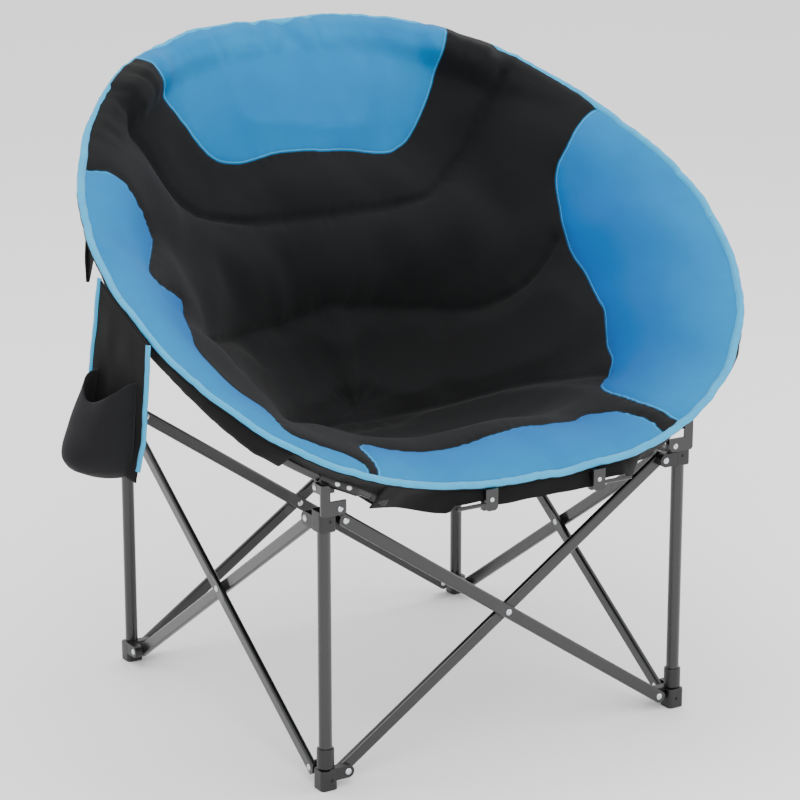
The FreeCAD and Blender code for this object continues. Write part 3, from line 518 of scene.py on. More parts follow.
def smooth_min_dist(P, line):
    """Distance from each point to a dense polyline and the length along it."""
    seg = np.linalg.norm(np.diff(line, axis=0), axis=1)
    cum = np.concatenate([[0], np.cumsum(seg)])
    flat = P.reshape(-1, 3)
    best = np.full(len(flat), 1e9)
    al = np.zeros(len(flat))
    for k0 in range(0, len(flat), 20000):
        blk = flat[k0:k0 + 20000]
        bd = np.full(len(blk), 1e9)
        ba = np.zeros(len(blk))
        for j in range(len(seg)):
            a, b = line[j], line[j + 1]
            ab = b - a
            L2 = max(ab @ ab, 1e-9)
            t = np.clip(((blk - a) @ ab) / L2, 0, 1)
            d = np.linalg.norm(blk - a - t[:, None] * ab, axis=1)
            m = d < bd
            bd[m] = d[m]
            ba[m] = (cum[j] + t * seg[j])[m]
        best[k0:k0 + 20000] = bd
        al[k0:k0 + 20000] = ba
    return best.reshape(P.shape[:-1]), al.reshape(P.shape[:-1])


def fnoise(P, scale, seed=0.0):
    """Smooth noise of -1 to 1 at each point, P in mm."""
    flat = P.reshape(-1, 3) / scale
    out = np.empty(len(flat))
    for i, p in enumerate(flat):
        out[i] = noise.noise(Vector((p[0] + seed, p[1] - seed * 0.7, p[2] + seed * 1.3)))
    return out.reshape(P.shape[:-1])


def normals_of(P, wrap=True):
    """Unit normals of a grid (ph, q), pointing to the sitter's side."""
    du = (np.roll(P, -1, 0) - np.roll(P, 1, 0)) if wrap else np.gradient(P, axis=0)
    dv = np.gradient(P, axis=1)
    n = np.cross(du, dv)
    L = np.linalg.norm(n, axis=-1, keepdims=True)
    n = n / np.maximum(L, 1e-9)
    n[:, 0] = n[:, 1].mean(0) / max(np.linalg.norm(n[:, 1].mean(0)), 1e-9)
    ref = np.array([0, N_Y, N_Z])
    s = np.sign((n * ref).sum(-1).mean())
    return n * s


NPH = 480
q_levels = np.concatenate([np.linspace(0, 0.5, 44)[:-1], np.linspace(0.5, 0.93, 74)[:-1], np.linspace(0.93, 1.0, 16)])
phs = np.linspace(-180, 180, NPH, endpoint=False)
PH, QQ = np.meshgrid(phs, q_levels, indexing="ij")
BASE = surf(PH, QQ)
NORM = normals_of(BASE)
APH = np.abs(PH)


def inside(ph, q, poly):
    """Signed: True inside a polygon in (ph, q)."""
    x, y = ph, q
    res = np.zeros(np.shape(x), bool)
    n = len(poly)
    j = n - 1
    for i in range(n):
        xi, yi = poly[i]
        xj, yj = poly[j]
        cond = ((yi > y) != (yj > y)) & (x < (xj - xi) * (y - yi) / (yj - yi + 1e-12) + xi)
        res ^= cond
        j = i
    return res


def panel_fields(PH_, QQ_, P_):
    best = np.full(PH_.shape, 1e9)
    al = np.zeros(PH_.shape)
    ins = np.zeros(PH_.shape, bool)
    off = 0.0
    for edge, shift in ((LEFT_EDGE, False), (RIGHT_EDGE, False), (TOP_EDGE, True), (FRONT_EDGE, False)):
        l = dense(edge, 8)
        a = np.where(PH_ > 0, PH_ - 360.0, PH_) if shift else PH_
        ins |= inside(a, QQ_, [tuple(p) for p in l] + [(l[-1][0], 1.3), (l[0][0], 1.3)])
        line = surf((l[:, 0] + 180.0) % 360.0 - 180.0, np.clip(l[:, 1], 0, 1.0))
        d, t = smooth_min_dist(P_, line)
        m = d < best
        best = np.where(m, d, best)
        al = np.where(m, t, al)
    return np.where(ins, best, -best), al


def crease_lines():
    out = []
    for path in (CREASE_UP, CREASE_MID):
        l = dense(path, 8)
        out.append(surf((l[:, 0] + 180.0) % 360.0 - 180.0, l[:, 1]))
    l3 = dense(CREASE_LOW_XYZ, 8)
    pq = to_pq(l3)
    out.append(surf(pq[:, 0] * np.where(l3[:, 0] < 0, -1, 1), pq[:, 1]))
    return out


PANEL, ALONG = panel_fields(PH, np.minimum(QQ, 1.0), BASE)
L_UP, L_MID, L_LOW = crease_lines()
D_UP, A_UP = smooth_min_dist(BASE, L_UP)
D_MID, A_MID = smooth_min_dist(BASE, L_MID)
D_LOW, A_LOW = smooth_min_dist(BASE, L_LOW)


# ---- cloth: the panels swell between their seams ---------------------------
def simulate():
    """Displacement along the normal of a coarse grid of the seat, from a
    pressurised cloth pinned along every seam, crease and the rim."""
    n1, qs = 200, np.linspace(0, 1, 66)
    ph1 = np.linspace(-180, 180, n1, endpoint=False)
    A, B = np.meshgrid(ph1, qs[1:], indexing="ij")
    P = surf(A, B)
    ctr = surf(np.array([0.0]), np.array([0.0]))
    pan, _ = panel_fields(A, B, P)
    du, _ = smooth_min_dist(P, L_UP)
    dm, _ = smooth_min_dist(P, L_MID)
    dl_, _ = smooth_min_dist(P, L_LOW)
    d = np.minimum.reduce([np.abs(pan), du, dm, dl_])
    pin = np.exp(-(d / 5.0) ** 2)
    pin[:, -2:] = 1.0
    verts = np.concatenate([P.reshape(-1, 3), ctr]) * MM
    nq = len(qs) - 1
    faces = []
    for i in range(n1):
        k = (i + 1) % n1
        for j in range(nq - 1):
            faces.append((i * nq + j, i * nq + j + 1, k * nq + j + 1, k * nq + j))
        faces.append((i * nq, k * nq, n1 * nq))
    me = bpy.data.meshes.new("seat_cloth")
    me.from_pydata(verts.tolist(), [], faces)
    me.update()
    ob = bpy.data.objects.new("seat_cloth", me)
    bpy.context.scene.collection.objects.link(ob)
    vg = ob.vertex_groups.new(name="pin")
    wts = np.concatenate([pin.reshape(-1), [0.0]])
    for lv in range(1, 21):
        idx = np.nonzero((np.round(wts * 20).astype(int)) == lv)[0].tolist()
        if idx:
            vg.add(idx, lv / 20.0, "REPLACE")
    m = ob.modifiers.new("cloth", "CLOTH")
    st = m.settings
    st.quality = 6
    st.mass = 0.25
    st.tension_stiffness = 18
    st.compression_stiffness = 12
    st.shear_stiffness = 8
    st.bending_stiffness = 0.6
    st.tension_damping = 12
    st.air_damping = 3
    st.use_pressure = True
    st.uniform_pressure_force = 5.0
    st.vertex_group_mass = "pin"
    st.pin_stiffness = 2.0
    st.shrink_min = -0.045
    st.effector_weights.gravity = 0.0
    m.collision_settings.use_collision = False
    m.point_cache.frame_start = 1
    m.point_cache.frame_end = 24
    sc = bpy.context.scene
    for f in range(1, 21):
        sc.frame_set(f)
    dg = bpy.context.evaluated_depsgraph_get()
    ev = ob.evaluated_get(dg)
    em = ev.to_mesh()
    co = np.empty(len(em.vertices) * 3)
    em.vertices.foreach_get("co", co)
    co = co.reshape(-1, 3) / MM
    ev.to_mesh_clear()
    sc.frame_set(1)
    bpy.data.objects.remove(ob)
    bpy.data.meshes.remove(me)
    disp = (co[:-1].reshape(n1, nq, 3) - P)
    # only the swelling counts: along the normal, evened out, capped
    nrm = normals_of(P)
    hgt = (disp * nrm).sum(-1)
    for _ in range(10):
        pad = np.concatenate([hgt[:, :1], hgt, hgt[:, -1:]], 1)
        hgt = (np.roll(hgt, 1, 0) + np.roll(hgt, -1, 0) + pad[:, :-2] + pad[:, 2:] + 2 * hgt) / 6.0
    hgt = np.clip(hgt, -0.5, 15.0) * np.clip((1.0 - B) / 0.10, 0, 1)
    disp = nrm * hgt[..., None]
    L = np.abs(hgt)
    print("cloth moved", round(float(L.mean()), 2), round(float(L.max()), 2))
    cd = disp[:, :1].mean(0, keepdims=True).repeat(n1, 0)
    disp = np.concatenate([cd, disp], 1)
    # onto the fine grid
    u = (PH + 180) / 360 * n1
    i0 = np.floor(u).astype(int) % n1
    i1 = (i0 + 1) % n1
    fu = (u - np.floor(u))[..., None]
    v = QQ * (len(qs) - 1)
    j0 = np.clip(np.floor(v).astype(int), 0, len(qs) - 2)
    fv = (v - j0)[..., None]
    return ((disp[i0, j0] * (1 - fu) + disp[i1, j0] * fu) * (1 - fv)
            + (disp[i0, j0 + 1] * (1 - fu) + disp[i1, j0 + 1] * fu) * fv)


def rim_wave(x):
    """Outward and upward shift of the edge at arc length x, mm: long loose
    scallops with a pinch between two of them."""
    o = np.empty(len(x))
    z = np.empty(len(x))
    for i, v_ in enumerate(x):
        c = noise.noise(Vector((v_ / 85.0, 0.3, 2.0)))
        o[i] = 5.0 * (abs(c) ** 0.8 - 0.28) + 1.1 * noise.noise(Vector((v_ / 17.0, 5.1, 0.0)))
        z[i] = 3.2 * noise.noise(Vector((v_ / 60.0, 9.1, 0.0))) + 0.9 * noise.noise(Vector((v_ / 14.0, 1.1, 4.0)))
    return o, z


ARC_PH = np.linspace(-180, 180, 1441)
_r = rim(ARC_PH)
ARC_L = np.concatenate([[0], np.cumsum(np.linalg.norm(np.diff(_r, axis=0), axis=1))])


def edge_shift(ph):
    """Shift in mm, as a vector, of the seat's edge at ph."""
    pw = (np.asarray(ph, float) + 180.0) % 360.0 - 180.0
    o, z = rim_wave(np.interp(pw, ARC_PH, ARC_L))
    blend = np.clip((180.0 - np.abs(pw)) / 6.0, 0, 1)       # the two ends of the arc meet
    path = rim(pw)
    ref = path - surf(pw, np.full(len(pw), 0.97))
    ref /= np.linalg.norm(ref, axis=1, keepdims=True)
    v_ = ref * (o * blend)[:, None]
    v_[:, 2] += z * blend
    return v_


TOP = BASE.copy()
g = lambda d, w: np.exp(-(d / w) ** 2)
n_big = fnoise(BASE, 150.0, 3.1)
n_mid = fnoise(BASE, 46.0, 9.2)
edge_fade = np.clip((1 - QQ) / 0.03, 0, 1)
TOP += simulate() * edge_fade[..., None]
# creases: a sharp valley in a soft one, with the small folds that run into it
wr_up = fnoise(np.stack([A_UP / 11.0, D_UP / 60.0, 0 * D_UP], -1), 1.0, 1.0)
wr_mid = fnoise(np.stack([A_MID / 10.0, D_MID / 60.0, 0 * D_UP + 4], -1), 1.0, 2.0)
wr_low = fnoise(np.stack([A_LOW / 14.0, D_LOW / 60.0, 0 * D_UP + 8], -1), 1.0, 3.0)
dis = -7.5 * g(D_UP, 7) - 5.0 * g(D_UP, 24) - 6.5 * g(D_MID, 6) - 4.5 * g(D_MID, 20) - 3.5 * g(D_LOW, 6) - 3.0 * g(D_LOW, 22)
dis += 1.5 * wr_up * g(D_UP, 20) + 1.4 * wr_mid * g(D_MID, 18) + 1.6 * wr_low * g(D_LOW, 26)
# panel seams
dis += -2.6 * g(PANEL, 3.2) - 2.0 * g(PANEL, 11)
wr_pan = fnoise(np.stack([ALONG / 9.0, PANEL / 70.0, 0 * PANEL + 12], -1), 1.0, 4.0)
dis += 1.2 * wr_pan * g(PANEL, 14)
# gathers running in from the edge binding
arc = np.cumsum(np.linalg.norm(np.diff(rim(np.append(phs, 180)), axis=0), axis=1))
arc = np.concatenate([[0], arc[:-1]])
gath = fnoise(np.stack([np.repeat(arc[:, None], QQ.shape[1], 1) / 15.0, QQ * 3.0, 0 * QQ + 20], -1), 1.0, 5.0)
dis += 2.2 * gath * g(1 - QQ, 0.07)
dis += 2.6 * n_big + 0.9 * n_mid
dis *= edge_fade
# the last bit rolls down under the binding
dis -= 5.0 * np.clip((QQ - 0.965) / 0.035, 0, 1) ** 2
TOP += NORM * dis[..., None]
# the cloth passes over the caps that hold the rear tubes on the poles
TILT = to_tilt(BASE)
for nm in ("rim_saddle_left", "rim_saddle_right", "pole_top_knuckle_left", "pole_top_knuckle_right",
           "rear_rim_tube_left", "rear_rim_tube_right", "front_rim_tube_left", "front_rim_tube_right"):
    ob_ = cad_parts[nm]
    sv = np.array([tuple(v_.co) for v_ in ob_.data.vertices])[::2] / MM
    spq = to_pq(sv)
    sg_ = np.where(sv[:, 0] < 0, -1, 1)
    under = to_tilt(surf(spq[:, 0] * sg_, np.clip(spq[:, 1], 0, 1)))[:, 2]
    stl = to_tilt(sv)
    up_ = stl[:, 2] - under + 4.0
    ok_ = (up_ > 0) & (spq[:, 1] < 1.02)
    stl, up_ = stl[ok_], up_[ok_]
    if len(stl) == 0:
        continue
    k_ = max(1, len(stl) // 500)
    stl, up_ = stl[::k_], up_[::k_]
    c0, c1 = stl[:, :2].min(0) - 34, stl[:, :2].max(0) + 34
    sel = ((TILT[..., 0] > c0[0]) & (TILT[..., 0] < c1[0]) & (TILT[..., 1] > c0[1]) & (TILT[..., 1] < c1[1]))
    pts = TILT[sel][:, :2]
    d_ = np.linalg.norm(pts[:, None] - stl[None, :, :2], axis=2)
    w_ = np.clip((32.0 - d_) / 26.0, 0, 1)
    lift = (up_[None] * w_ * w_ * (3 - 2 * w_)).max(1)
    TOP[sel] += NORM[sel] * lift[:, None]
ES = edge_shift(phs)
TOP += ES[:, None, :] * (np.clip((QQ - 0.88) / 0.12, 0, 1) ** 1.5)[..., None]

# under side: black, taut, thin at the rim where the tubes lie
thick = 20.0 - 13.0 * np.clip((QQ - 0.80) / 0.12, 0, 1)
thick = np.where(APH < 30, np.maximum(thick, 22.0 * np.clip((1.0 - QQ) / 0.08, 0.3, 1)), thick)
BOT = BASE - NORM * (thick + 2.0 * n_big * edge_fade)[..., None]
BOT += ES[:, None, :] * (np.clip((QQ - 0.93) / 0.07, 0, 1) ** 1.5)[..., None]

# ---------------------------------------------------------------------------
# the seam where the seat folds
# ---------------------------------------------------------------------------
SEAM_P = np.array([0, 100.0, 360.0])
SEAM_N = np.array([0, 315.0, 198.0])
SEAM_N = SEAM_N / np.linalg.norm(SEAM_N)


def new_mesh(name, verts_mm, faces, mats, uv=None, fields=None, mat_index=None, smooth=True):
    me = bpy.data.meshes.new(name)
    me.from_pydata((np.asarray(verts_mm) * MM).tolist(), [], [tuple(int(i) for i in f) for f in faces])
    for m in mats:
        me.materials.append(m)
    if uv is not None:
        layer = me.uv_layers.new(name="UVMap")
        li = np.empty(len(me.loops), np.int64)
        me.loops.foreach_get("vertex_index", li)
        layer.data.foreach_set("uv", np.asarray(uv, np.float32)[li].reshape(-1))
    for k, v in (fields or {}).items():
        a = me.attributes.new(k, "FLOAT", "POINT")
        a.data.foreach_set("value", np.asarray(v, np.float32))
    if mat_index is not None:
        me.polygons.foreach_set("material_index", np.asarray(mat_index, np.int32))
    if smooth:
        me.polygons.foreach_set("use_smooth", np.ones(len(me.polygons), bool))
    me.update()
    ob = bpy.data.objects.new(name, me)
    bpy.context.scene.collection.objects.link(ob)
    return ob


def split_half(ob, name, side):
    """A copy of a closed mesh on one side of the seam, closed again."""
    c = ob.copy()
    c.data = ob.data.copy()
    c.name = name
    bpy.context.scene.collection.objects.link(c)
    bm = bmesh.new()
    bm.from_mesh(c.data)
    geom = bm.verts[:] + bm.edges[:] + bm.faces[:]
    co = Vector(SEAM_P * MM)
    no = Vector(SEAM_N)
    res = bmesh.ops.bisect_plane(bm, geom=geom, dist=1e-6, plane_co=co, plane_no=no,
                                 clear_inner=side > 0, clear_outer=side < 0)
    edges = [e for e in bm.edges if e.is_boundary]
    fill = bmesh.ops.triangle_fill(bm, use_beauty=True, use_dissolve=False, edges=edges)
    for f in fill["geom"]:
        if isinstance(f, bmesh.types.BMFace):
            f.smooth = False
            f.material_index = 1
    bmesh.ops.recalc_face_normals(bm, faces=bm.faces[:])
    bm.to_mesh(c.data)
    bm.free()
    return c


def keep_normals(src, halves):
    """Both halves shade as the whole did, so the seam doesn't show."""
    me = src.data
    kd = {}
    for v in me.vertices:
        kd[(round(v.co.x, 6), round(v.co.y, 6), round(v.co.z, 6))] = v.normal.copy()
    from mathutils.kdtree import KDTree
    tree = KDTree(len(me.vertices))
    for i, v in enumerate(me.vertices):
        tree.insert(v.co, i)
    tree.balance()
    for h in halves:
        m = h.data
        vn = []
        for v in m.vertices:
            d = abs((np.array(v.co) / MM - SEAM_P) @ SEAM_N)
            if d < 14.0:
                near = tree.find_n(v.co, 3)
                nrm = Vector((0, 0, 0))
                for (co, i, dist) in near:
                    nrm += me.vertices[i].normal / (dist + 1e-5)
                vn.append(nrm.normalized())
            else:
                vn.append(Vector((0, 0, 0)))
        loop_n = []
        for p in m.polygons:
            for li in p.loop_indices:
                vi = m.loops[li].vertex_index
                if p.use_smooth and vn[vi].length > 0.5:
                    loop_n.append(vn[vi])
                elif p.use_smooth:
                    loop_n.append(Vector((0, 0, 0)))
                else:
                    loop_n.append(p.normal.copy())
        m.normals_split_custom_set([tuple(x) for x in loop_n])


# closed mesh of the whole seat
nq = QQ.shape[1]
top_v = TOP[:, 1:].reshape(-1, 3)
bot_sel = list(range(1, nq, 3))
if bot_sel[-1] != nq - 1:
    bot_sel.append(nq - 1)
bot_v = BOT[:, bot_sel].reshape(-1, 3)
nb = len(bot_sel)
nt = nq - 1
ctr_t, ctr_b = TOP[:, 0].mean(0), BOT[:, 0].mean(0)
verts = np.concatenate([top_v, bot_v, ctr_t[None], ctr_b[None]])
it = lambda i, j: (i % NPH) * nt + j
ib = lambda i, j: NPH * nt + (i % NPH) * nb + j
CT, CB = NPH * (nt + nb), NPH * (nt + nb) + 1
faces, mats_i = [], []
for i in range(NPH):
    for j in range(nt - 1):
        faces.append((it(i, j), it(i + 1, j), it(i + 1, j + 1), it(i, j + 1)))
        mats_i.append(0)
    faces.append((it(i, 0), CT, it(i + 1, 0)))
    mats_i.append(0)
    for j in range(nb - 1):
        faces.append((ib(i, j), ib(i, j + 1), ib(i + 1, j + 1), ib(i + 1, j)))
        mats_i.append(1)
    faces.append((ib(i, 0), ib(i + 1, 0), CB))
    mats_i.append(1)
    faces.append((it(i, nt - 1), it(i + 1, nt - 1), ib(i + 1, nb - 1), ib(i, nb - 1)))
    mats_i.append(1)
tt = to_tilt(verts)
uv = np.stack([tt[:, 0], tt[:, 1] + 0.35 * tt[:, 2]], -1) * MM
cat = lambda top_f, bot_f: np.concatenate([top_f[:, 1:].reshape(-1), bot_f[:, bot_sel].reshape(-1), [top_f[0, 0], bot_f[0, 0]]])
# painted shade of the blue panels: this field grows from the rim into the bowl and is weaker at the back
fields = {"panel": cat(PANEL, np.full_like(PANEL, -50.0)), "along": cat(ALONG, ALONG),
          "bowl_shade": cat(np.clip((0.97 - QQ) / 0.3, 0, 1) * np.clip((150 - APH) / 30, 0.25, 1), QQ * 0)}
seat = new_mesh("seat_whole", verts, faces, [M_SEAT, M_BLACK], uv, fields, mats_i)
bm = bmesh.new()
bm.from_mesh(seat.data)
bmesh.ops.recalc_face_normals(bm, faces=bm.faces[:])
bm.to_mesh(seat.data)
bm.free()
seat_back = split_half(seat, "seat_back_cover", 1)
seat_pan = split_half(seat, "seat_pan_cover", -1)
keep_normals(seat, (seat_back, seat_pan))
whole = seat.data
bpy.data.objects.remove(seat)
bpy.data.meshes.remove(whole)


# ---------------------------------------------------------------------------
# tubes of fabric: binding and sleeves
# ---------------------------------------------------------------------------
def frames_along(path, closed=False):
    if closed:
        t = np.roll(path, -1, 0) - np.roll(path, 1, 0)
    else:
        t = np.gradient(path, axis=0)
    return t / np.linalg.norm(t, axis=1, keepdims=True)


def sweep(name, path, ref, profile, mats, wobble=None, uv_w=None, stitch=None, caps=True):
    """A closed skin along a path. profile(k) gives (out, up) offsets in mm of
    the ring; ref is the outward direction at each point."""
    n = len(path)
    t = frames_along(path)
    out = ref - (ref * t).sum(1, keepdims=True) * t
    out /= np.linalg.norm(out, axis=1, keepdims=True)
    up = np.cross(out, t)
    s = np.sign(up[:, 2].mean())
    up = up * (s if s != 0 else 1)
    m = len(profile)
    prof = np.array(profile, float)
    P = path[:, None] + out[:, None] * prof[None, :, 0, None] + up[:, None] * prof[None, :, 1, None]
    if wobble is not None:
        P = P + wobble(path, out, up, prof)
    L = np.concatenate([[0], np.cumsum(np.linalg.norm(np.diff(path, axis=0), axis=1))])
    pl = np.concatenate([[0], np.cumsum(np.linalg.norm(np.diff(prof, axis=0), axis=1))])
    V_ = P.reshape(-1, 3)
    fc = []
    for i in range(n - 1):
        for j in range(m):
            k = (j + 1) % m
            fc.append((i * m + j, i * m + k, (i + 1) * m + k, (i + 1) * m + j))
    UV = np.stack([np.repeat(L, m), np.tile(pl, n)], -1) * MM
    if caps:
        fc.append(tuple(range(m)))
        fc.append(tuple((n - 1) * m + j for j in reversed(range(m))))
    fl = {}
    if stitch is not None:
        fl["stitch"] = np.tile(np.array(stitch, float), n)
    ob = new_mesh(name, V_, fc, mats, UV, fl)
    b = bmesh.new()
    b.from_mesh(ob.data)
    bmesh.ops.recalc_face_normals(b, faces=b.faces[:])
    b.to_mesh(ob.data)
    b.free()
    return ob


def binding(name, a, b, n):
    """The cyan tape folded over the seat's edge, from ph a to b."""
    ph = np.linspace(a, b, n)
    path = rim(ph)
    inn = surf((ph + 180.0) % 360.0 - 180.0, np.full(n, 0.97))
    ref = path - inn
    ref /= np.linalg.norm(ref, axis=1, keepdims=True)
    # the tape is pulled in a little between the gathers of the seat
    arc_l = np.concatenate([[0], np.cumsum(np.linalg.norm(np.diff(path, axis=0), axis=1))])
    base = a * 7.3
    path = path + edge_shift(ph)
    prof = []
    stitch = []
    # a flattened hairpin, open toward the seat: 11 mm wide, 6.5 mm thick
    for k in range(20):
        th = 2 * math.pi * k / 20
        x = -4.2 + 6.2 * math.cos(th)
        y = 3.9 * math.sin(th) * (1.0 if math.cos(th) > 0 else 0.92)
        prof.append((x, y - 2.0))
        stitch.append(1.0 if (abs(x + 7.4) < 1.25 and y > 0) else 0.0)

    def wob(p, out, up, pr):
        w = np.zeros((len(p), len(pr), 3))
        for j in range(len(pr)):
            f = np.array([noise.noise(Vector((x / 6.5 + base, j * 0.35, 1.7))) for x in arc_l])
            w[:, j] = up * (0.55 * f)[:, None] + out * (0.35 * f)[:, None]
        return w
    return sweep(name, path, ref, prof, [M_BIND], wob, stitch=stitch)


PH_SEAM = 78.05
nseg = 620
bind_back = binding("edge_binding_back", PH_SEAM, 360 - PH_SEAM, nseg)
bind_pan = binding("edge_binding_front", -PH_SEAM, PH_SEAM, int(nseg * 0.62))

FRONT_TUBE = np.array([(222, -335, 421), (262, -317, 440), (300, -300, 455), (350, -296, 484),
                       (403, -281, 520), (452, -218, 580), (482, -148, 637), (490, -105, 668)], float)
REAR_TUBE = np.array([(490, -88, 680), (482, 0, 737), (455, 80, 787), (413, 151, 832),
                      (363, 210, 872), (277, 277, 917), (183, 316, 944), (89, 328, 953), (30, 330, 954)], float)


def sleeve(name, pts, r0, start_cut=0.0, n=260, seed=0.0, flare=0.0):
    """Fabric sleeve round a rim tube, pinched up to the seat's edge."""
    path = dense(pts, 40)
    L = np.concatenate([[0], np.cumsum(np.linalg.norm(np.diff(path, axis=0), axis=1))])
    s = np.linspace(start_cut, L[-1], n)
    path = np.stack([np.interp(s, L, path[:, k]) for k in range(3)], -1)
    sg = np.sign(path[:, 0].mean()) if abs(path[:, 0].mean()) > 5 else 0
    pr = np.array([to_pq(p) for p in path])[:, 0]
    sgn = np.where(path[:, 0] < 0, -1, 1)
    edge = rim(pr)
    edge[:, 0] *= sgn
    ref = edge - path
    ref /= np.linalg.norm(ref, axis=1, keepdims=True)
    reach = np.linalg.norm(edge - path, axis=1)
    m = 22
    t = frames_along(path)
    out = ref - (ref * t).sum(1, keepdims=True) * t
    out /= np.linalg.norm(out, axis=1, keepdims=True)
    up = np.cross(out, t)
    V_ = np.empty((n, m, 3))
    for j in range(m):
        th = 2 * math.pi * j / m
        c, si = math.cos(th), math.sin(th)
        # drop shape: round at the tube, drawn out to the edge of the seat
        rr = np.full(n, r0)
        far = max(0.0, c) ** 3
        ext = far * np.maximum(reach - 3.0 - r0, 0)
        wr = np.array([noise.noise(Vector((x / 17.0 + seed, th * 0.9, seed))) for x in s])
        wr2 = np.array([noise.noise(Vector((x / 52.0 + seed, th * 0.5, seed + 5))) for x in s])
        rr = rr + 1.3 * wr + 1.6 * wr2
        V_[:, j] = path + out * (c * rr + ext)[:, None] + up * (si * rr)[:, None]
    # nothing of it stands on the sitter's side of the seat
    tv = to_tilt(V_)
    pq = to_pq(V_)
    sf = to_tilt(surf(pq[..., 0], np.clip(pq[..., 1], 0, 1.0)))[..., 2]
    lim = sf - 6.0 - 6.0 * np.clip((0.985 - pq[..., 1]) / 0.03, 0, 1)
    tv[..., 2] = np.minimum(tv[..., 2], np.where(pq[..., 1] > 1.03, 1e9, lim))
    V_ = from_tilt(tv)
    fc = []
    for i in range(n - 1):
        for j in range(m):
            k = (j + 1) % m
            fc.append((i * m + j, i * m + k, (i + 1) * m + k, (i + 1) * m + j))
    # the open ends turn in, as a hem does
    inner = []
    for i in (0, n - 1):
        ring_ = V_[i].mean(0) + (V_[i] - V_[i].mean(0)) * 0.62
        inner.append(ring_)
    base = n * m
    V2 = np.concatenate([V_.reshape(-1, 3), inner[0], inner[1]])
    for j in range(m):
        k = (j + 1) % m
        fc.append((j, base + j, base + k, k))
        fc.append(((n - 1) * m + j, (n - 1) * m + k, base + m + k, base + m + j))
    fc.append(tuple(base + j for j in reversed(range(m))))
    fc.append(tuple(base + m + j for j in range(m)))
    per = np.arange(m) * (2 * math.pi * r0 / m)
    UV = np.stack([np.repeat(s, m), np.tile(per, n)], -1)
    UV = np.concatenate([UV, np.stack([np.zeros(m), per], -1), np.stack([np.full(m, s[-1]), per], -1)]) * MM
    ob = new_mesh(name, V2, fc, [M_BLACK], UV)
    b = bmesh.new()
    b.from_mesh(ob.data)
    bmesh.ops.recalc_face_normals(b, faces=b.faces[:])
    b.to_mesh(ob.data)
    b.free()
    return ob


mir = lambda a: a * np.array([-1, 1, 1])
span = np.concatenate([mir(REAR_TUBE[:-1]), [[0, 331, 954.5]], REAR_TUBE[:-1][::-1]])
sleeve_back = sleeve("rim_sleeve_rear", span, 12.2, 0.0, 620, 2.0)
sleeve_fl = sleeve("rim_sleeve_front_left", mir(FRONT_TUBE[2:]), 12.0, 72.0, 150, 5.0)
sleeve_fr = sleeve("rim_sleeve_front_right", FRONT_TUBE[2:], 12.0, 72.0, 150, 7.0)

# ---------------------------------------------------------------------------
# cup holder, storage pocket, front apron
# ---------------------------------------------------------------------------


def cloth_patch(name, grid, thick, mats, uv=None, mat_back=None):
    """A patch of cloth with thickness from a grid of points (mm)."""
    n, m = grid.shape[:2]
    du = np.gradient(grid, axis=0)
    dv = np.gradient(grid, axis=1)
    nn = np.cross(du, dv)
    nn /= np.maximum(np.linalg.norm(nn, axis=-1, keepdims=True), 1e-9)
    a = (grid + nn * thick / 2).reshape(-1, 3)
    b = (grid - nn * thick / 2).reshape(-1, 3)
    V_ = np.concatenate([a, b])
    N = n * m
    fc = []
    for i in range(n - 1):
        for j in range(m - 1):
            fc.append((i * m + j, i * m + j + 1, (i + 1) * m + j + 1, (i + 1) * m + j))
            fc.append((N + i * m + j, N + (i + 1) * m + j, N + (i + 1) * m + j + 1, N + i * m + j + 1))
    loop = [(0, j) for j in range(m)] + [(i, m - 1) for i in range(1, n)] \
        + [(n - 1, j) for j in range(m - 2, -1, -1)] + [(i, 0) for i in range(n - 2, 0, -1)]
    for (i0, j0), (i1, j1) in zip(loop, loop[1:] + loop[:1]):
        fc.append((i0 * m + j0, N + i0 * m + j0, N + i1 * m + j1, i1 * m + j1))
    lu = np.concatenate([[0], np.cumsum(np.linalg.norm(np.diff(grid[:, 0], axis=0), axis=1))])
    lv = np.concatenate([[0], np.cumsum(np.linalg.norm(np.diff(grid[0], axis=0), axis=1))])
    UV = np.stack(np.meshgrid(lu, lv, indexing="ij"), -1).reshape(-1, 2) * MM
    ob = new_mesh(name, V_, fc, mats, np.concatenate([UV, UV]))
    b_ = bmesh.new()
    b_.from_mesh(ob.data)
    bmesh.ops.recalc_face_normals(b_, faces=b_.faces[:])
    b_.to_mesh(ob.data)
    b_.free()
    return ob


def tape(name, pts, width_dir, w=8.0, th=3.2, n=120, seed=0.0):
    """Binding tape along an edge of a flat piece. width_dir points off the
    cloth at each point."""
    path = dense(pts, 30)
    L = np.concatenate([[0], np.cumsum(np.linalg.norm(np.diff(path, axis=0), axis=1))])
    s = np.linspace(0, L[-1], n)
    path = np.stack([np.interp(s, L, path[:, k]) for k in range(3)], -1)
    ref = np.repeat(np.array(width_dir, float)[None], n, 0) if np.ndim(width_dir) == 1 else width_dir
    prof, st = [], []
    for k in range(16):
        a = 2 * math.pi * k / 16
        x = w / 2 * math.cos(a)
        prof.append((x, th * math.sin(a)))
        st.append(1.0 if abs(x + w * 0.28) < 1.0 and math.sin(a) > 0 else 0.0)

    def wob(p, out, up, pr):
        wv = np.zeros((len(p), len(pr), 3))
        f = np.array([noise.noise(Vector((x / 20.0 + seed, 0.2, 1.7))) for x in s])
        wv += (up * (1.0 * f)[:, None])[:, None]
        return wv
    return sweep(name, path, ref, prof, [M_BIND], wob, stitch=st)


A_ = np.array([-491.0, -176.0, 640.0])
B_ = np.array([-508.0, -66.0, 712.0])
DOWN = np.array([-0.10, 0.02, -1.0])
DOWN /= np.linalg.norm(DOWN)
NOUT = np.cross(B_ - A_, DOWN)
NOUT /= np.linalg.norm(NOUT)
if NOUT[0] > 0:
    NOUT = -NOUT
UPV = -DOWN
SIDE_D = np.cross(UPV, NOUT)
SIDE_D /= np.linalg.norm(SIDE_D)

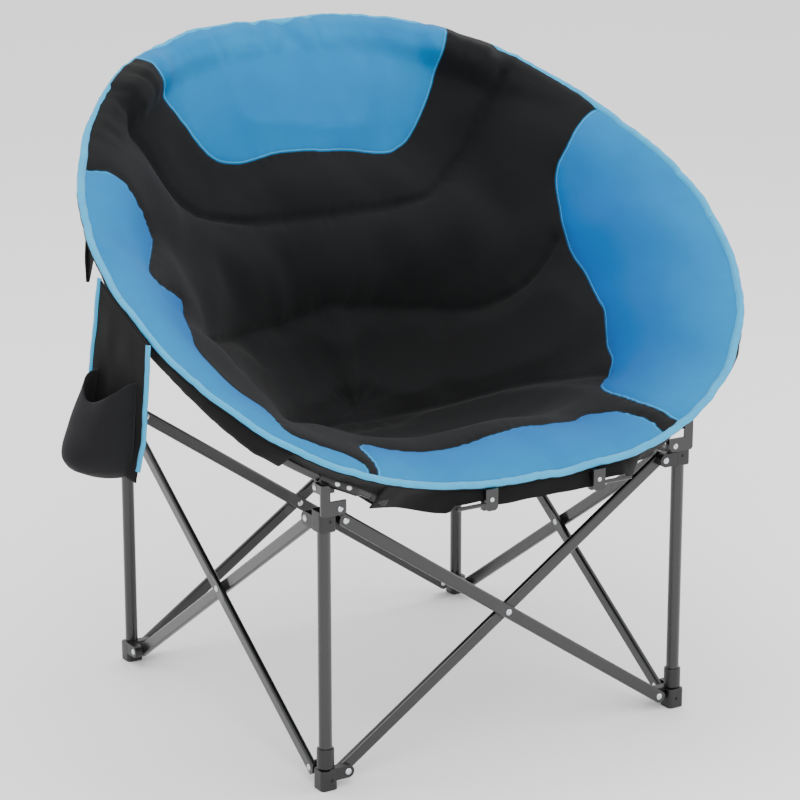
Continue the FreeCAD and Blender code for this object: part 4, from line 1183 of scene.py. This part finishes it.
A1 = A_ + NOUT * 8.0
B1 = B_ + NOUT * 8.0
nu, nv = 46, 60
u = np.linspace(0, 1, nu)[:, None, None]
v = np.linspace(0, 1, nv)[None, :, None]
top_e = A1 + (B1 - A1) * u
hgt = 192 + (245 - 192) * u
grid = top_e + DOWN * hgt * v
fold = fnoise(np.broadcast_to(grid, (nu, nv, 3)), 48.0, 4.0)
fold2 = fnoise(np.broadcast_to(grid, (nu, nv, 3)) * np.array([1, 1, 0.35]), 22.0, 6.0)
grid = grid + NOUT * ((4.5 * fold + 1.6 * fold2) * np.clip(v[..., 0] * 4, 0, 1))[..., None] \
    - SIDE_D * (6.0 * np.sin(v * math.pi) * (u - 0.5))
cup_panel = cloth_patch("cup_holder_panel_cloth", grid, 2.2, [M_BLACK])
tape_a = tape("cup_holder_binding_front", grid[0, ::6], SIDE_D if (A1 - B1) @ SIDE_D > 0 else -SIDE_D, 9.0, 2.6, 130, 1.0)
tape_b = tape("cup_holder_binding_rear", grid[-1, ::6], -SIDE_D if (A1 - B1) @ SIDE_D > 0 else SIDE_D, 9.0, 2.6, 130, 2.0)

# pocket: an open pouch sewn on the panel, its mouth cut lower in the middle
AX = A1 + (B1 - A1) * 0.52 + DOWN * 92 + NOUT * 2.0
n_a, n_h = 64, 40
ang = np.linspace(0, math.pi, n_a)
hh = np.linspace(0, 1, n_h)
half_w = pchip([0, 0.4, 0.72, 0.9, 1.0], [42, 45, 46, 41, 30], hh)
dep = pchip([0, 0.4, 0.72, 0.9, 1.0], [43, 65, 75, 64, 38], hh)
G = np.empty((n_a, n_h, 3))
for i, a in enumerate(ang):
    mouth = 32.0 * math.sin(a) ** 2.0            # the notch in the mouth
    for j, h in enumerate(hh):
        z = mouth * (1 - h) + 134.0 * h
        G[i, j] = AX + DOWN * z + SIDE_D * (math.cos(a) * half_w[j]) + NOUT * (abs(math.sin(a)) ** 0.85 * dep[j])
nz = fnoise(G, 30.0, 11.0)
G += NOUT * (2.4 * nz * np.sin(ang)[:, None])[..., None]
pocket = cloth_patch("cup_holder_pouch", G, 2.4, [M_POCKET])
# bottom of the pouch
Bm = np.empty((n_a, 10, 3))
for i, a in enumerate(ang):
    for j in range(10):
        k = 1 - j / 9.0
        Bm[i, j] = AX + DOWN * (134.0 + 3.0 * (1 - k)) + SIDE_D * (math.cos(a) * half_w[-1] * (k * 0.98 + 0.02)) \
            + NOUT * (abs(math.sin(a)) ** 0.85 * dep[-1] * k)
pouch_base = cloth_patch("cup_holder_pouch_base", Bm, 2.2, [M_POCKET])

# storage pocket behind the rim
C0, C1 = np.array([-478.0, 60.0, 742.0]), np.array([-392.0, 198.0, 826.0])
dn = np.array([-0.02, 0.03, -1.0])
dn /= np.linalg.norm(dn)
nn_ = np.cross(C1 - C0, dn)
nn_ /= np.linalg.norm(nn_)
if nn_[0] > 0:
    nn_ = -nn_
C0, C1 = C0 - nn_ * 6, C1 - nn_ * 6
u = np.linspace(0, 1, 40)[:, None, None]
v = np.linspace(0, 1, 44)[None, :, None]
ln = 68 + (108 - 68) * u ** 0.8
gr = C0 + (C1 - C0) * (u * (1 - 0.06 * v) + 0.02 * v) + dn * ln * v
bulge = np.sin(u * math.pi) ** 0.6 * np.sin(np.clip(v, 0, 1) * math.pi) ** 0.6
gr = gr + nn_ * (bulge * 5.0)
gr = gr + nn_ * (2.0 * fnoise(gr, 34.0, 2.0))[..., None]
side_pocket = cloth_patch("storage_pocket_cloth", gr, 3.0, [M_BLACK])
gr2 = C0 + (C1 - C0) * (u * (1 - 0.06 * v) + 0.02 * v) + dn * ln * v - nn_ * (2.0 + bulge * 1.0)
side_pocket2 = cloth_patch("storage_pocket_back", gr2, 2.0, [M_BLACK])

# front apron under the blue edge: straight in the middle, its ends run back
# behind the ends of the rim tubes
px = np.linspace(-240, 240, 200)
rx = rim(np.linspace(-60, 60, 481))[:, 0]
aph = np.interp(px, rx, np.linspace(-60, 60, 481))
e_rim = rim(aph) + edge_shift(aph)
ax_ = np.abs(px)
low = pchip([0, 92, 97, 103, 143, 149, 155, 250], [403.5, 403.5, 405, 413, 413, 404, 401.5, 408], ax_)
low = low + 1.2 * np.array([noise.noise(Vector((x / 40.0, 0, 5))) for x in px])
y_lo = pchip([0, 130, 165, 205, 250], [-390.6, -390.6, -372, -324, -320], ax_)
vv = np.linspace(0, 1, 26)
Gf = np.empty((len(px), len(vv), 3))
for i in range(len(px)):
    topp = e_rim[i] + np.array([0, 8.0, -6.0])
    for j, k in enumerate(vv):
        Gf[i, j] = [px[i], topp[1] * (1 - k) + y_lo[i] * k, topp[2] * (1 - k) + low[i] * k]
Gf[..., 1] -= (2.2 * fnoise(Gf, 36.0, 1.0) * np.sin(np.clip(vv, 0, 1) * math.pi)[None])
apron = cloth_patch("front_apron", Gf, 2.4, [M_BLACK])


def skirt(name, sg, seed):
    """Black cloth between the seat's edge and the bare stretch of the front
    rim tube, hanging just behind the tube."""
    n, m = 90, 22
    ph = np.linspace(30.5, 57.5, n)
    top = rim(ph * sg) + edge_shift(ph * sg)
    t = np.linspace(0, 1, n)
    xb = 230 + (412 - 230) * t
    yb = np.interp(xb, FRONT_TUBE[:6, 0], FRONT_TUBE[:6, 1]) + 13.0
    zb = np.interp(xb, FRONT_TUBE[:6, 0], FRONT_TUBE[:6, 2]) - 7.0
    zb = np.where(xb < 262, 408 + (432 - 408) * np.clip((xb - 230) / 32.0, 0, 1), zb)
    bot = np.stack([xb * sg, yb, zb], -1)
    inw = np.stack([-0.5 * np.sign(top[:, 0]), np.full(n, 0.8), np.zeros(n)], -1)
    top = top + inw * 7.0 + np.array([0, 0, -5.0])
    v_ = np.linspace(0, 1, m)[None, :, None]
    G_ = top[:, None] * (1 - v_) + bot[:, None] * v_
    w_ = fnoise(G_ * np.array([1, 1, 0.4]), 26.0, seed) * np.sin(v_[..., 0] * math.pi)
    G_ = G_ + inw[:, None] * (3.0 * w_ + 3.0 * np.sin(v_[..., 0] * math.pi))[..., None]
    return cloth_patch(name, G_, 2.2, [M_BLACK])


skirt_l = skirt("edge_skirt_left", -1, 3.0)
skirt_r = skirt("edge_skirt_right", 1, 6.0)

# rivet heads on the two clips of the apron
def dome(name, c, n, r=3.4, h=1.7):
    """Domed rivet head with a flat rim at c, facing n."""
    n = np.array(n, float) / np.linalg.norm(n)
    a_ = np.cross(n, [0, 0, 1.0])
    a_ /= np.linalg.norm(a_)
    b_ = np.cross(n, a_)
    V_, F_ = [], []
    rings = [(1.0, -0.6), (1.0, 0.12), (0.93, 0.42), (0.78, 0.72), (0.5, 0.93), (0.22, 1.0)]
    k = 28
    for rr, hh_ in rings:
        for q in range(k):
            th = 2 * math.pi * q / k
            V_.append(np.array(c) + (a_ * math.cos(th) + b_ * math.sin(th)) * r * rr + n * h * hh_)
    for i in range(len(rings) - 1):
        for q in range(k):
            F_.append((i * k + q, i * k + (q + 1) % k, (i + 1) * k + (q + 1) % k, (i + 1) * k + q))
    F_.append(tuple(range(k - 1, -1, -1)))
    F_.append(tuple((len(rings) - 1) * k + q for q in range(k)))
    o = new_mesh(name, V_, F_, [M_RIVET])
    bm_ = bmesh.new()
    bm_.from_mesh(o.data)
    bmesh.ops.recalc_face_normals(bm_, faces=bm_.faces[:])
    bm_.to_mesh(o.data)
    bm_.free()
    return o


clip_rivets = [dome("clip_rivet_left", (-90, -398.4, 415), (0, -1, 0)), dome("clip_rivet_right", (90, -398.4, 415), (0, -1, 0))]

# ---------------------------------------------------------------------------
# bodies
# ---------------------------------------------------------------------------
for o, body, nodes in (
        (seat_back, "seat_back", ["seat_back_pad"]), (seat_pan, "seat_pan", ["seat_pan_pad"]),
        (bind_back, "seat_back", []), (bind_pan, "seat_pan", []),
        (sleeve_back, "seat_back", ["rim_sleeve_back"]), (sleeve_fl, "seat_pan", []), (sleeve_fr, "seat_pan", []),
        (cup_panel, "seat_back", ["cup_holder_panel"]), (tape_a, "seat_back", []), (tape_b, "seat_back", []),
        (pocket, "seat_back", ["cup_holder_pocket"]), (pouch_base, "seat_back", []),
        (side_pocket, "seat_back", ["side_pocket"]), (side_pocket2, "seat_back", []),
        (skirt_l, "seat_pan", []), (skirt_r, "seat_pan", []),
        (clip_rivets[0], "seat_pan", []), (clip_rivets[1], "seat_pan", []),
        (apron, "seat_pan", ["front_strap"])):
    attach(o, body)
    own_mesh(o)
    if nodes:
        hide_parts(*nodes)
